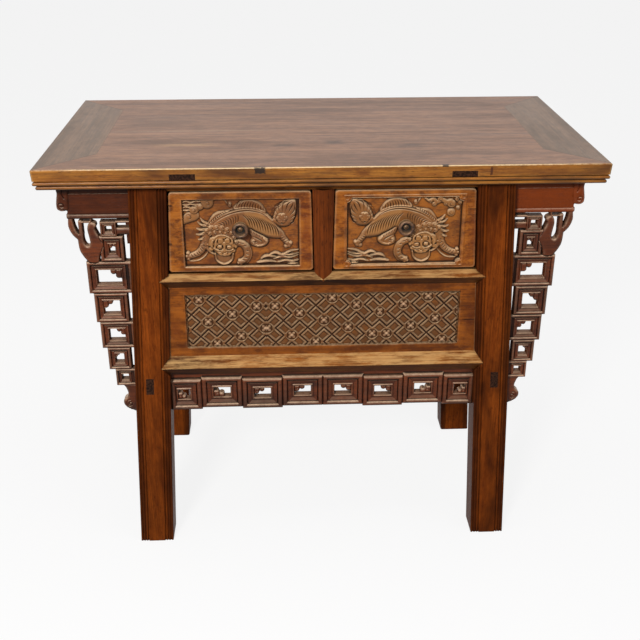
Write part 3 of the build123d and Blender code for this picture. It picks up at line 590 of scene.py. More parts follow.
def solid_mesh(name, corners, faces, marks=None, facing=-1):
    """A mesh in metres, welded, with smooth faces and sharp edges, facing the front or the back."""
    mesh = bpy.data.meshes.new(name)
    corners = np.array(corners, float)
    if facing > 0:
        corners = corners * (1, -1, 1)
        faces = [face[::-1] for face in faces]
    mesh.from_pydata((corners * MM).tolist(), [], [list(face) for face in faces])
    for kind, values in (marks or {}).items():
        shares = np.zeros(len(corners), np.float32)
        shares[:len(values)] = values
        mesh.attributes.new(kind, "FLOAT", "POINT").data.foreach_set("value", shares)
    work = bmesh.new()
    work.from_mesh(mesh)
    bmesh.ops.remove_doubles(work, verts=work.verts, dist=0.02 * MM)
    bmesh.ops.dissolve_degenerate(work, edges=work.edges, dist=0.005 * MM)
    work.to_mesh(mesh)
    work.free()
    mesh.shade_smooth()
    mesh.set_sharp_from_angle(angle=radians(42))
    return mesh


def add_piece(name, mesh, body, material, replaced, mirrored=False):
    """A piece of the table that stands for a solid of the frame."""
    if mirrored:
        mesh = mirror_mesh(mesh)
    piece = bpy.data.objects.new(name, mesh)
    bpy.context.scene.collection.objects.link(piece)
    mesh.materials.clear()
    mesh.materials.append(material)
    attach(piece, body)
    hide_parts(replaced)


def mirror_mesh(mesh):
    """A copy of a mesh, left for right."""
    copy = mesh.copy()
    work = bmesh.new()
    work.from_mesh(copy)
    for corner in work.verts:
        corner.co.x = -corner.co.x
    bmesh.ops.reverse_faces(work, faces=work.faces)
    work.to_mesh(copy)
    work.free()
    return copy


class Carving:
    """A sunk field on a grid: the heights of its carving over its ground."""

    def __init__(self, width, height, step):
        self.u = np.linspace(0, width, round(width / step) + 1)
        self.w = np.linspace(0, height, round(height / step) + 1)
        self.across, self.up = np.meshgrid(self.u, self.w)
        self.rise = np.zeros(self.across.shape)
        self.glow = np.zeros(self.across.shape)
        # Painted shade that darkens the cuts.
        self.ink = np.zeros(self.across.shape)
        self.tint = 0.0

    def window(self, points, reach):
        """The part of the grid round some points, and its places."""
        low = np.min(points, axis=0) - reach
        high = np.max(points, axis=0) + reach
        i0, i1 = np.searchsorted(self.u, (low[0], high[0]))
        j0, j1 = np.searchsorted(self.w, (low[1], high[1]))
        part = (slice(j0, j1), slice(i0, i1))
        return part, self.across[part], self.up[part]

    def lay(self, part, inward, height, base, on_top):
        """Adds a form with a round shoulder; inward runs from 0 at its edge to 1."""
        rise = height * np.sqrt(np.clip(1 - (1 - inward) ** 2, 0, 1))
        if on_top:
            self.rise[part] += np.where(inward > 0, rise, 0)
        else:
            over = (inward > 0) & (base + rise > self.rise[part])
            self.glow[part] = np.where(over, self.tint, self.glow[part])
            # A form laid over a cut clears its painted shade.
            self.ink[part] = np.where(over, 0.0, self.ink[part])
            self.rise[part] = np.maximum(self.rise[part], np.where(inward > 0, base + rise, 0))

    def pad(self, outline, height, roll, base=0.0, on_top=False, smooth=True):
        points = flowing(outline, closed=True) if smooth else np.asarray(outline, float)
        part, u, w = self.window(points, 1.0)
        inward = np.clip(-polygon_gap(u, w, points) / roll, 0, 1)
        self.lay(part, inward, height, base, on_top)

    def strap(self, points, radii, height, base=0.0, on_top=False, smooth=True):
        points = flowing(points) if smooth else np.asarray(points, float)
        part, u, w = self.window(points, max(radii) + 1.0)
        inward = np.clip(-strap_gap(u, w, points, radii) / max(radii), 0, 1)
        self.lay(part, inward, height, base, on_top)

    def knob(self, centre, radius, height, base=0.0, on_top=False):
        points = np.array([centre, centre], float)
        part, u, w = self.window(points, radius + 1.0)
        inward = np.clip(1 - np.hypot(u - centre[0], w - centre[1]) / radius, 0, 1)
        self.lay(part, inward, height, base, on_top)

    def cut(self, points, half_width, depth, smooth=True):
        """A V-shaped cut along a line, shallower towards its ends, darkened with painted shade."""
        points = flowing(points) if smooth else np.asarray(points, float)
        part, u, w = self.window(points, half_width + 1.0)
        radii = half_width * np.sin(np.linspace(0.15, pi - 0.15, len(points)))
        inward = np.clip(-strap_gap(u, w, points, radii) / half_width, 0, 1)
        self.rise[part] -= depth * inward
        self.ink[part] = np.maximum(self.ink[part], np.clip(inward * 1.5 - 0.2, 0, 1))

    def at(self, field, u, w):
        """A field's value at any place, between the grid's own."""
        i = np.clip((u / self.u[-1]) * (len(self.u) - 1), 0, len(self.u) - 1.001)
        j = np.clip((w / self.w[-1]) * (len(self.w) - 1), 0, len(self.w) - 1.001)
        i0, j0 = i.astype(int), j.astype(int)
        fi, fj = i - i0, j - j0
        low = field[j0, i0] * (1 - fi) + field[j0, i0 + 1] * fi
        high = field[j0 + 1, i0] * (1 - fi) + field[j0 + 1, i0 + 1] * fi
        return low * (1 - fj) + high * fj


def curl(centre, radius, turns, start, way=1, ends=0.12):
    """Points of a spiral from its outer end to its eye; angles in degrees, way 1 turns to the left."""
    angle = radians(start) + way * np.linspace(0, turns * 2 * pi, int(14 * turns) + 2)
    reach = radius * np.linspace(1, ends, len(angle))
    return np.column_stack([centre[0] + reach * np.cos(angle), centre[1] + reach * np.sin(angle)])


# ======== sizes shared by the pieces ========

top_rail_width = 103.0
leg_splay = 0.0493
leg_width = 72.0
leg_foot = edges_of("leg_front_right")[1][0]
wing_low, wing_high = edges_of("wing_front_right")
under_top = wing_high[2]
ornament_face, ornament_rear = wing_low[1] + 2.0, wing_high[1]
into_leg = 1.5
panel_face = edges_of("chamber_front_panel")[0][1]
drawer_face = edges_of("drawer_left_front")[0][1]


def leg_outer(z):
    return leg_foot - leg_splay * z


def leg_inner(z):
    return leg_outer(z) - leg_width


# ======== spandrels and wings ========

# From the top down: height, reach beyond the leg, gap to the leg, bar, hook width, hook height, hook side.
spandrel_drop = 79.0
leg_side_bar = 3.0
ring_sizes = [
    (30.0, 58.0, 27.0, 9.0, 0.0, 0.0, "none"),
    (53.0, 60.0, 14.0, 17.0, 14.0, 8.0, "outer"),
    (67.5, 87.0, 0.0, 18.0, 21.0, 18.0, "inner"),
    (63.5, 76.0, 10.0, 16.5, 19.0, 16.0, "outer"),
    (58.5, 67.0, 0.0, 16.0, 16.0, 14.0, "inner"),
    (49.5, 55.0, 9.0, 14.0, 9.0, 8.0, "outer"),
    (38.0, 41.0, 0.0, 12.0, 0.0, 0.0, "none"),
]
bird_body = [(474.5, 718), (473.5, 695), (468.7, 682.5), (462.4, 672.7), (455, 666), (440, 666), (436, 680),
             (429, 694.7), (426, 705), (430, 712.4), (435.2, 723.3), (440, 735.9), (437.3, 741), (439, 747),
             (446, 750), (452.2, 745.5), (454.5, 734.6), (452.8, 722), (451.4, 708), (454, 702),
             (459.5, 701.5), (463.6, 711), (464.5, 726), (471, 727)]
bird_crest = [(484.6, 763), (484.6, 743), (479.5, 728), (470.5, 717)]
spandrel_tail = [(-4, 1), (25, 1), (22.5, -6), (18.9, -18), (20, -28), (27, -34), (30, -40), (28, -49),
                 (20, -57.5), (8, -62.5), (1, -64), (0, -30)]
bird_straps = [(flowing(bird_crest), (3.6, 5.6, 5.2, 4.6)), ([(467.2, 751), (467.2, 722)], (3.7, 3.7)),
               ([(468.5, 750.4), (447, 750.4), (445.5, 760)], (1.9, 1.7))]


def lobes(x, z, x0, x1, z0, z1, corner_x, corner_z):
    """A hook of three rounded lobes that grows from one corner of an opening."""
    wide, tall = x1 - x0, z1 - z0
    u = (x - corner_x) * (1 if corner_x == x0 else -1)
    w = (z - corner_z) * (1 if corner_z == z0 else -1)
    near, far = 0.3 * tall, 0.26 * wide
    shape = strap_gap(u, w, [(0.0, tall - near), (0.28 * wide, tall - near)], (near, near))
    shape = np.minimum(shape, strap_gap(u, w, [(wide - far, 0.0), (wide - far, 0.24 * tall)], (far, far)))
    shape = np.minimum(shape, box_gap(u, w, -1.0, 0.52 * wide, -1.0, 0.6 * tall))
    return np.minimum(shape, box_gap(u, w, -1.0, 0.3 * wide, -1.0, 0.7 * tall))


def moulding(out, into, bar):
    """Depth of a ring's face: a bead along its outer edge, a quirk, a bevel and a lip round the opening."""
    width, lip = 0.42 * bar, 0.17 * bar
    fall = bar - width - 1.2
    outer = bead(out, width, 0.2 * bar)
    bevel = 0.1 * bar + 0.12 * bar * (1 - np.clip((into - lip) / (fall - lip), 0, 1))
    rim = 0.13 * bar + bead(np.clip(into, 0, lip), lip, 0.13 * bar)
    inner = np.where(into < lip, rim, bevel)
    return np.where(out < width, outer, np.where(into > fall, 0.27 * bar, inner))


def spandrel_layout():
    """Each ring's outer rectangle, opening, hook and bar."""
    rings = []
    top = under_top - spandrel_drop
    for height, reach, leg_gap, bar, hook_width, hook_height, hook_side in ring_sizes:
        low = top - height
        line = leg_outer((top + low) / 2)
        x0 = line + leg_gap if leg_gap else line - into_leg
        x1 = line + reach
        opening = (line + (leg_gap or leg_side_bar) + bar, x1 - bar, low + bar, top - bar)
        hook = None
        if hook_width:
            hx = opening[1] if hook_side == "outer" else opening[0]
            far = hx - hook_width if hook_side == "outer" else hx + hook_width
            hook = (min(hx, far), max(hx, far), top - bar - hook_height, top - bar, hx, top - bar)
        rings.append(((x0, x1, low, top), opening, hook, bar))
        top = low
    return rings


def make_spandrel_mesh(name, facing):
    """A bird's head over a stack of square rings with hooks, and a scroll for a tail."""
    rings = spandrel_layout()
    first_top = rings[0][0][3]
    foot = rings[-1][0][2]
    line = leg_outer(foot)
    body = flowing(bird_body, closed=True, parts=4)
    tail = flowing([(line + aside, foot + up) for aside, up in spandrel_tail], closed=True, parts=4)
    bar_start, bar_end = leg_outer(first_top) - into_leg, leg_outer(first_top) + ring_sizes[0][2] + 1
    bars = [(bar_start, bar_end, first_top - 3, first_top + 1.5),
            (bar_start, bar_end, first_top - 27, first_top - 13)]
    eye = curl((line + 17, foot - 45), 9, 1.4, 100, -1)

    def gap(x, z):
        solid = np.minimum(polygon_gap(x, z, body), polygon_gap(x, z, tail))
        for points, radii in bird_straps:
            solid = np.minimum(solid, strap_gap(x, z, points, radii))
        for rectangle in [*bars, *(ring[0] for ring in rings)]:
            solid = np.minimum(solid, box_gap(x, z, *rectangle))
        for _, opening, hook, _ in rings:
            hollow = box_gap(x, z, *opening)
            if hook:
                hollow = np.maximum(hollow, -lobes(x, z, *hook))
            solid = np.maximum(solid, -hollow)
        return np.maximum(solid, leg_outer(z) - into_leg - x)

    def depth(x, z):
        plain = 3.5
        down = np.full(x.shape, plain)
        inward = np.clip(-polygon_gap(x, z, body) / 5, 0, 1)
        stipple = 0.35 * np.sin(x * 2.2 + 0.6 * np.sin(z)) * np.sin(z * 2.3)
        plump = 0.8 + 3.2 * rounded(1 - inward) + stipple * (inward > 0.3)
        down = np.where(inward > 0, plump, down)
        for points, radii in bird_straps:
            inward = np.clip(-strap_gap(x, z, points, radii) / radii[0], 0, 1)
            ridge = 1.2 + 3 * rounded(1 - inward)
            down = np.where(inward > 0, np.minimum(ridge, np.where(down == plain, 9, down)), down)
        inward = np.clip(-polygon_gap(x, z, tail) / 7, 0, 1)
        volute = np.abs(strap_gap(x, z, eye, (0.0, 0.0)))
        scroll = 1.5 + 4 * rounded(1 - inward) + np.clip(1.6 - volute, 0, 1.6)
        down = np.where(inward > 0, scroll, down)
        for x0, x1, z0, z1 in bars:
            across = bead(np.clip(z - z0, 0, z1 - z0), z1 - z0, min(3.0, (z1 - z0) / 2))
            down = np.where(box_gap(x, z, x0, x1, z0, z1) <= 0, 1.0 + across, down)
        for outer, opening, hook, bar in rings:
            out = -box_gap(x, z, *outer)
            into = box_gap(x, z, *opening)
            ring = moulding(out, into, bar)
            if hook:
                inward = np.clip(-lobes(x, z, *hook) / 3, 0, 1)
                ring = np.where((inward > 0) & (into < 0), 3.4 + 2.4 * (1 - inward) ** 2, ring)
            down = np.where((out >= 0) & (polygon_gap(x, z, body) > 0), ring, down)
        return down

    keys_x, keys_z = [], []
    for outer, opening, *_ in rings:
        keys_x += [outer[1], outer[0], opening[0], opening[1]]
        keys_z += [outer[3], opening[2], opening[3]]
    xs = grid_lines(leg_outer(first_top) - 4, 492.0, 1.0, keys_x)
    zs = grid_lines(foot - 67.0, under_top - 63.0, 1.0, keys_z)
    return carved_board(name, xs, zs, gap, depth, ornament_face, ornament_rear, facing=facing)


wing_start, wing_end = 300.0, 488.0
wing_bar, wing_overhang = 9.0, 2.5
wing_band = 22.0
wing_nose = flowing([(484, 832), (500, 832), (505.5, 829), (505.2, 816), (504.2, 807), (506.3, 795),
                     (507.3, 783), (505.8, 777), (499.6, 773.8), (491, 774.6), (486, 776), (484, 790)],
                    closed=True, parts=4)
wing_cuts = [curl((497.5, 784.5), 8.0, 1.35, 250, 1, 0.1),
             flowing([(491, 800), (494.5, 808), (493.5, 818), (497, 829)])]


def make_wing_mesh(name, facing):
    """A board under the end of the top, with a half-round bar below and a scroll for a nose."""
    low = wing_low[2]
    board_low = low + wing_bar
    bar_end = wing_end + wing_overhang
    band_low = under_top - wing_band

    def gap(x, z):
        board = box_gap(x, z, wing_start, wing_end, board_low, under_top)
        bar = box_gap(x, z, wing_start, bar_end, low, board_low)
        solid = np.minimum(np.minimum(board, bar), polygon_gap(x, z, wing_nose))
        return np.maximum(np.maximum(solid, z - under_top), leg_outer(z) - into_leg - x)

    def depth(x, z):
        down = np.full(x.shape, 3.2)
        down = np.where(z > band_low - 1, 4.4 - np.clip(band_low - z, 0, 1), down)
        bar = bead(np.clip(z - low, 0, wing_bar), wing_bar, 3.4)
        end_round = np.clip(1 - (bar_end - x) / 3, 0, 1) ** 2 * 3
        down = np.where(z < board_low, bar + end_round, down)
        inward = np.clip(-polygon_gap(x, z, wing_nose) / 6, 0, 1)
        cut = np.minimum(*(np.abs(strap_gap(x, z, line, (0.0, 0.0))) for line in wing_cuts))
        scroll = 0.3 + 4.2 * rounded(1 - inward) + np.clip(2.2 - cut, 0, 2.2)
        return np.where((inward > 0) & (z > board_low + 4), scroll, down)

    xs = grid_lines(leg_outer(under_top) - 4, 509.0, 1.0, [wing_end, bar_end])
    zs = grid_lines(low, under_top, 1.0, [board_low, band_low - 1, band_low])
    return carved_board(name, xs, zs, gap, depth, ornament_face - 2.0, ornament_rear, facing=facing)


# ======== apron ========

apron_bar = 25.0
apron_end_bar = 14.0
apron_ring_height = 72.0
apron_stagger = 4.0
apron_half_rings = 4
apron_hook = (25.0, 14.0)
outside = 400.0


def make_apron_mesh():
    """A row of staggered square rings with hooks, the same on both sides of the middle."""
    apron_low = edges_of("apron")[0]
    case_bottom = edges_of("bottom_rail_front")[0][2]
    top = apron_low[2] + apron_ring_height + apron_stagger
    far = leg_inner(top - apron_ring_height / 2)
    pitch = far / (apron_half_rings - 0.25)
    rings = []
    for index in range(apron_half_rings):
        z1 = top - apron_stagger * (index % 2)
        z0 = z1 - apron_ring_height
        x0, x1 = index * pitch, (index + 1) * pitch
        end = x1 - apron_bar
        if index == apron_half_rings - 1:
            x1, end = far + 2, far - apron_end_bar
        opening = (x0 + apron_bar, end, z0 + apron_bar, z1 - apron_bar)
        wide, tall = apron_hook
        wide = min(wide, 0.62 * (end - opening[0]))
        root, tip = (opening[3], opening[3] - tall) if index < 2 else (opening[2], opening[2] + tall)
        hook = (end - wide, end, min(root, tip), max(root, tip), end, root)
        rings.append(((x0, x1, z0, z1), opening, hook))

    def gap(x, z):
        right = np.abs(x)
        solid = box_gap(right, z, -1, outside, top - 0.5, case_bottom)
        end_low = top - apron_stagger - 0.5
        solid = np.minimum(solid, box_gap(right, z, far - apron_bar - 4, outside, end_low, case_bottom))
        for outer, *_ in rings:
            solid = np.minimum(solid, box_gap(right, z, *outer))
        for _, opening, hook in rings:
            hollow = np.maximum(box_gap(right, z, *opening), -lobes(right, z, *hook))
            solid = np.maximum(solid, -hollow)
        return np.maximum(solid, right - leg_inner(z) - into_leg)

    def depth(x, z):
        right = np.abs(x)
        down = np.full(x.shape, 7.0)
        for outer, opening, hook in rings:
            out = -box_gap(right, z, *outer)
            into = box_gap(right, z, *opening)
            ring = moulding(out, into, apron_bar)
            inward = np.clip(-lobes(right, z, *hook) / 4.0, 0, 1)
            ring = np.where((inward > 0) & (into < 0), 4.4 + 2.4 * (1 - inward) ** 2, ring)
            down = np.where(out >= 0, ring, down)
        return down

    keys_x, keys_z = [0.0], [top]
    for outer, opening, _ in rings:
        keys_x += [s * k for k in (outer[0], opening[0], opening[1]) for s in (-1, 1)]
        keys_z += [outer[2], outer[3], opening[2], opening[3]]
    reach = leg_inner(apron_low[2]) + 3
    xs = grid_lines(-reach, reach, 1.0, keys_x)
    zs = grid_lines(apron_low[2], case_bottom, 1.0, keys_z)
    return carved_board("apron_carved", xs, zs, gap, depth, ornament_face, ornament_rear)


# ======== fixed panel with its key-fret ========

# Crosses of five cells, each with a flower in the middle, laid slantwise and turned over beyond two seams.
fret_half = 276.0
fret_margin = 16.5
carved_thickness = 20.0
fret_cell = 23.2
fret_seam = 115.0
flower_place = (-113.0, 40.0)
joint_half = 1.5
rib_width = 3.6
bud_radius = 3.6
flower_reach = 10.5
flower_ground = 2.2


def fret_relief(x, z):
    """Depth below the ribs' crests, how much petals and buds glow, and the painted shade in the cuts."""
    x = np.where(x > fret_seam, 2 * fret_seam - x, np.where(x < -fret_seam, -2 * fret_seam - x, x))
    x, z = x - flower_place[0], z - flower_place[1]
    a = (x + z) / sqrt(2) / fret_cell + 0.5
    b = (z - x) / sqrt(2) / fret_cell + 0.5
    cell_a, cell_b = np.floor(a), np.floor(b)
    kind = (2 * cell_a + cell_b) % 5
    la, lb = a - cell_a - 0.5, b - cell_b - 0.5
    out = np.choose(kind.astype(int), [la, lb, la, -la, -lb])
    side = np.abs(np.choose(kind.astype(int), [lb, la, lb, lb, la]))
    corners = np.hypot(0.5 - np.abs(la), 0.5 - np.abs(lb))
    gap = np.where(kind == 0, corners, np.minimum(0.5 - side, 0.5 - out)) * fret_cell
    joint = np.clip((joint_half + 0.5 - gap) / 0.9, 0, 1)
    rim = joint_half + rib_width
    sunk = np.minimum(gap - rim, (out + 0.47) * fret_cell)
    arm = kind != 0
    floor = np.clip(sunk / 0.9, 0, 1) * (2.5 - 0.9 * np.clip(sunk / 5.0, 0, 1)) * arm
    u, w = (la - lb) / sqrt(2) * fret_cell, (la + lb) / sqrt(2) * fret_cell
    around = np.hypot(u, w)
    petals = np.abs(np.sin(2 * np.arctan2(w, u))) ** 0.7 * 10.0
    leaf = np.clip((petals - around) / 1.8, 0, 1) * (around > bud_radius)
    bud = np.sqrt(np.clip(1 - (around / bud_radius) ** 2, 0, 1))
    flower = flower_ground - 1.9 * leaf - 3.2 * bud
    in_flower = (kind == 0) & (around < flower_reach)
    depth = np.where(in_flower, np.maximum(flower, -1.0), 2.8 * joint + floor)
    glow = np.where(in_flower, np.maximum(leaf * 0.3, np.clip(bud * 2, 0, 1)), 0.0)
    # Painted shade in the joints between the crosses and a painted shadow along the recesses' edges.
    corner = np.clip(1 - np.abs(sunk - 0.8) / 1.3, 0, 1) * arm
    ink = np.where(in_flower, 0.7 * (1 - leaf) * (bud == 0), np.maximum(joint, 0.75 * corner))
    return depth, glow, ink


def make_fret_panel_mesh():
    """The panel between two rails, with its tongues in them and a sunk field of crosses."""
    near = panel_face - 0.6
    z0, z1 = edges_of("bottom_rail_front")[1][2], edges_of("middle_rail_front")[0][2]
    tongue = 5.0
    field = (-fret_half, fret_half, z0 + fret_margin, z1 - fret_margin)

    def gap(x, z):
        board = box_gap(x, z, -outside, outside, z0 - tongue, z1 + tongue)
        return np.maximum(board, np.abs(x) - leg_inner(z) - into_leg)

    def depth(x, z):
        into = box_gap(x, z, *field)
        shifts = ((-0.3, -0.1), (0.1, -0.3), (0.3, 0.1), (-0.1, 0.3))
        carved = 1.3 + sum(fret_relief(x + dx, z - field[2] + dz)[0] for dx, dz in shifts) / len(shifts)
        carved = np.where(into > -3.6, np.where(into > -2.4, 1.0, 3.4), carved)
        shoulder = 0.5 * np.clip(1 - into / 3.0, 0, 1) ** 2
        return np.where(into < 0, np.where(into > -0.9, 2.8, carved), shoulder)

    def paint(x, z):
        within = (box_gap(x, z, *field) < 0) * 1.0
        _, glow, ink = fret_relief(x, z - field[2])
        return {"figure": within, "glow": within * glow, "ink": within * ink}

    xs = grid_lines(-leg_inner(z0) - 3, leg_inner(z0) + 3, 0.8, [-fret_half, fret_half])
    zs = grid_lines(z0 - tongue, z1 + tongue, 0.8, [field[2], field[3]])
    return carved_board("chamber_front_carved", xs, zs, gap, depth, near, panel_face + carved_thickness,
                        blur=2.5, plain_back=True, paint=paint)


# ======== carved lions of the drawer fronts ========

field_centre, field_margin_foot = 158.0, 14.0
field_width, field_height = 224.0, 137.0
plate_place = (110.0, 79.0)
plate_seat_radius = 14.5
plate_seat_rise = 5.2
rib_count = 12


def halfway(first, second, aside=0.0, up=0.0):
    """The place between two others, shifted a little."""
    return ((first[0] + second[0]) / 2 + aside, (first[1] + second[1]) / 2 + up)


def carve_clouds_left(field):
    """Plump cloud lobes over wavy bands, in the upper left corner."""
    field.tint = 0.5
    for w, sag in ((131.5, 1.5), (126.0, -1.0), (120.5, 1.2), (115.0, -0.6)):
        field.strap([(0, w - sag), (8, w + sag), (17, w - sag), (26, w + sag), (36, w + 1)], (1.9, 1.6), 2.4)
    cloud = [(-3, 84), (4, 86.5), (14, 90), (26, 94), (32, 101), (31, 108), (24, 112), (14, 112), (6, 108),
             (-3, 98)]
    field.pad(cloud, 2.6, 9, 0.6)
    field.knob((22.5, 114.5), 8.5, 3.0, 1.2)
    field.knob((34.5, 121.0), 6.5, 2.6, 1.0)
    cloud = [(36, 136), (38, 126), (42, 119), (50, 117), (58, 122), (61, 132), (60, 142), (44, 142)]
    field.pad(cloud, 3.0, 8, 1.0)
    for centre, radius in (((12, 101), 7.0), ((22.5, 114.5), 5.0), ((49, 128), 6.0)):
        field.cut(curl(centre, radius, 1.1, 200, -1, 0.2), 1.1, 1.0, smooth=False)


def carve_clouds_right(field):
    """A run of curling clouds that turns down the side, in the upper left corner of a mirrored field."""
    field.tint = 0.5
    run = [(73, 133), (66, 128), (58, 131), (50, 125), (42, 130), (32, 125), (24, 127)]
    field.strap(run, (2.2, 3.6, 4.4, 4.8, 5.0), 2.2, 0.8)
    for centre, radius in (((63, 128), 4.5), ((55, 121), 5.0), ((44, 131), 6.0), ((33, 122), 4.5),
                           ((22, 121), 8.5), ((22, 103.5), 8.0), ((10, 131), 6.0), ((5, 124), 4.5),
                           ((9, 113), 4.0)):
        field.knob(centre, radius, 2.4, 1.0)
        field.cut(curl(centre, 0.72 * radius, 1.15, 120, 1, 0.15), 0.9, 1.2, smooth=False)


def carve_water(field):
    """Long pointed wavelets along the foot of the field, on the right."""
    field.tint = 0.0
    for points, wide in (([(139, 5.5), (152, 8.0), (166, 8.5), (178, 6.0)], 3.6),
                         ([(147, 13), (158, 19), (172, 18.5), (188, 12)], 3.2),
                         ([(160, 19), (176, 26), (190, 21), (206, 29), (225, 32)], 3.2),
                         ([(172, 12), (188, 18), (204, 16), (225, 22)], 3.6),
                         ([(180, 5.5), (196, 10), (210, 7.5), (226, 12)], 3.2),
                         ([(190, 24.5), (204, 21.5), (226, 26)], 2.0),
                         ([(200, 2.5), (212, 3.5), (226, 2.5)], 2.2)):
        field.strap(points, (0.3, wide, wide, 0.6 * wide, 0.3), 4.2, 0.3)
        field.cut([(u, w + 0.2 * wide) for u, w in points[1:]], 0.7, 0.8)


def carve_tail(field):
    """A plume like a teardrop, with combed hair and a flower of curls at its root."""
    field.tint = 0.15
    plume = [(172, 92), (176, 108), (183, 121), (194, 131), (207, 135), (217, 134), (219, 122), (218, 105),
             (212, 91), (201, 80.5), (188, 79.5), (178, 85)]
    field.pad(plume, 3.6, 9, 1.3)
    for share in np.linspace(0.04, 0.96, 11):
        turn = radians(205 - 265 * share)
        root = (193 + 12 * cos(turn), 97 + 12 * sin(turn))
        side = (193 + 24 * cos(turn * 0.86 + 0.1), 103 + 24 * sin(turn * 0.86 + 0.1))
        tip = (196 + 21 * (0.2 + share), 133 - 26 * max(0.0, share - 0.45))
        field.cut([root, side, tip], 1.4, 1.8)
    for turn in np.arange(6) * 60:
        petal = (190 + 7.0 * cos(radians(turn)), 98 + 7.0 * sin(radians(turn)))
        field.knob(petal, 4.6, 1.5, on_top=True)
    field.knob((190, 98), 4.0, 1.6, on_top=True)
    field.cut(curl((190, 98), 12.0, 1.0, 30, 1, 0.85), 0.9, 1.4, smooth=False)


def carve_body(field):
    """The arched body with its ribs, the fins of hair above the back, and the line along the back."""
    fin = [(98, 117), (103, 125), (111, 131), (122, 134.5), (136, 134.5), (148, 129), (157, 118), (160, 108),
           (140, 112), (118, 113)]
    field.pad(fin, 2.4, 3.0, 0.9)
    for share in np.linspace(0, 1, 11):
        root = (102 + 56 * share, 117 - 6 * share**2)
        tip = (112 + 44 * share, 134.5 - 15 * share**3)
        field.cut([root, halfway(root, tip, -2), tip], 1.25, 1.6)
    nape = [(42, 80), (49, 92), (57, 104), (66, 111), (79, 113), (90, 114), (84, 104), (70, 95), (56, 82)]
    field.pad(nape, 2.4, 4.0, 1.0)
    for share in np.linspace(0, 1, 10):
        root = (50 + 36 * share, 82 + 26 * share)
        tip = (50 + 32 * share, 90 + 25 * share**0.8)
        field.cut([root, halfway(root, tip, -2.5, 0.5), tip], 1.25, 1.6)

    body = [(44, 74), (54, 88), (68, 100), (84, 110), (104, 116.5), (124, 118.5), (143, 116), (158, 109),
            (170, 98), (179, 85), (188, 72), (190, 60), (183, 55), (164, 57.5), (152, 64), (139, 71),
            (128, 76), (116, 62), (96, 56), (70, 56), (52, 62)]
    field.pad(body, 3.9, 10, 1.5)
    ridge = flowing([(44, 76), (56, 91), (70, 102.5), (88, 111.5), (108, 116.8), (128, 117.8), (147, 113.5),
                     (161, 105), (172, 93.5)])
    field.strap(ridge, (2.2, 3.0, 3.0, 2.2), 1.3, on_top=True, smooth=False)
    field.cut(ridge, 0.9, 1.5, smooth=False)
    field.cut(ridge + (1.6, -4.4), 1.0, 1.2, smooth=False)
    for share in np.linspace(0, 1, rib_count):
        top = (113 + 57 * share, 108.5 - 20 * share**2.2)
        low = (130 + 55 * share, 77 - 20 * share**0.85)
        field.cut([top, halfway(top, low, 4.0, 2.0), low], 1.5, 2.1)
    for share in np.linspace(0, 1, 9):
        top = (58 + 46 * share, 86 + 23 * share**0.8)
        low = (74 + 30 * share, 76 + 10 * share)
        field.cut([top, halfway(top, low, 3, 3), low], 1.2, 1.3)


def carve_legs(field):
    """Four legs: the stretched fore leg, the bent one, the folded haunch and the hind leg behind."""
    hind = [(178, 72), (187, 64), (194, 54), (200, 46)]
    field.strap(hind, (9, 7, 5.5, 5), 3.0, 1.2)
    for centre in ((203, 40.5), (198, 39), (206, 45)):
        field.knob(centre, 4.6, 2.4, 1.2)
    for share in np.linspace(0.1, 0.9, 6):
        u, w = 180 + 20 * share, 70 - 24 * share
        field.cut([(u - 5, w - 2.5), (u, w + 1.0), (u + 5, w + 2.5)], 0.9, 1.2)
    haunch = [(125, 80), (136, 72), (148, 65), (160, 58), (164, 51), (160, 43), (150, 38), (139, 38.5),
              (131, 42), (128, 50), (131, 59), (127, 68)]
    field.pad(haunch, 3.2, 8, 1.4)
    field.strap([(156, 56), (160, 49), (154, 42.5), (144, 41)], (3.0, 3.6, 3.0), 1.3, on_top=True)
    for centre in ((135, 45), (140, 41.5), (134, 51)):
        field.knob(centre, 4.0, 1.5, on_top=True)
    field.cut([(130, 62), (140, 58), (150, 52), (152, 46)], 1.3, 1.8)
    field.cut([(128, 52), (137, 51), (146, 47)], 1.0, 1.3)
    for share in np.linspace(0, 1, 5):
        field.cut([(129 + 22 * share, 74 - 13 * share), (133 + 20 * share, 66 - 11 * share)], 0.9, 1.1)

    bent = flowing([(92, 50), (104, 48), (114, 44), (121, 34), (122, 22), (117, 12), (108, 7.5)])
    field.strap(bent, (7.5, 7.5, 7.0, 6.5, 6.0), 3.4, 1.3, smooth=False)
    rim = flowing([(108, 51.5), (121, 46), (128.5, 34), (129.5, 21), (124, 9), (116, 3.5)])
    field.strap(rim, (0.8, 1.5, 1.5, 0.8), 2.2, 0.6, smooth=False)
    for centre in ((106, 10), (104.5, 5.5), (109, 4)):
        field.knob(centre, 3.6, 2.6, 1.4)
    for share in np.linspace(0.1, 0.9, 8):
        u, w = bent[int(share * (len(bent) - 1))]
        field.cut([(u - 4, w + 3.0), (u + 4, w + 1.0)], 1.2, 1.6)

    stretched = flowing([(45, 66), (42, 54), (38, 42), (31, 31), (21, 24), (10, 21)])
    field.strap(stretched, (9, 8, 7, 6.5, 6.0), 3.2, 1.3, smooth=False)
    rim = flowing([(48, 40), (44, 27), (35, 17), (24, 11.5), (8, 11)])
    field.strap(rim, (0.8, 1.4, 1.4, 0.8), 2.0, 0.5, smooth=False)
    for centre in ((6, 27), (4, 21), (7, 16)):
        field.knob(centre, 4.2, 2.8, 1.4)
    for share in np.linspace(0.3, 0.9, 8):
        u, w = stretched[int(share * (len(stretched) - 1))]
        field.cut([(u - 4, w + 4), (u + 2, w - 4)], 1.2, 1.7)


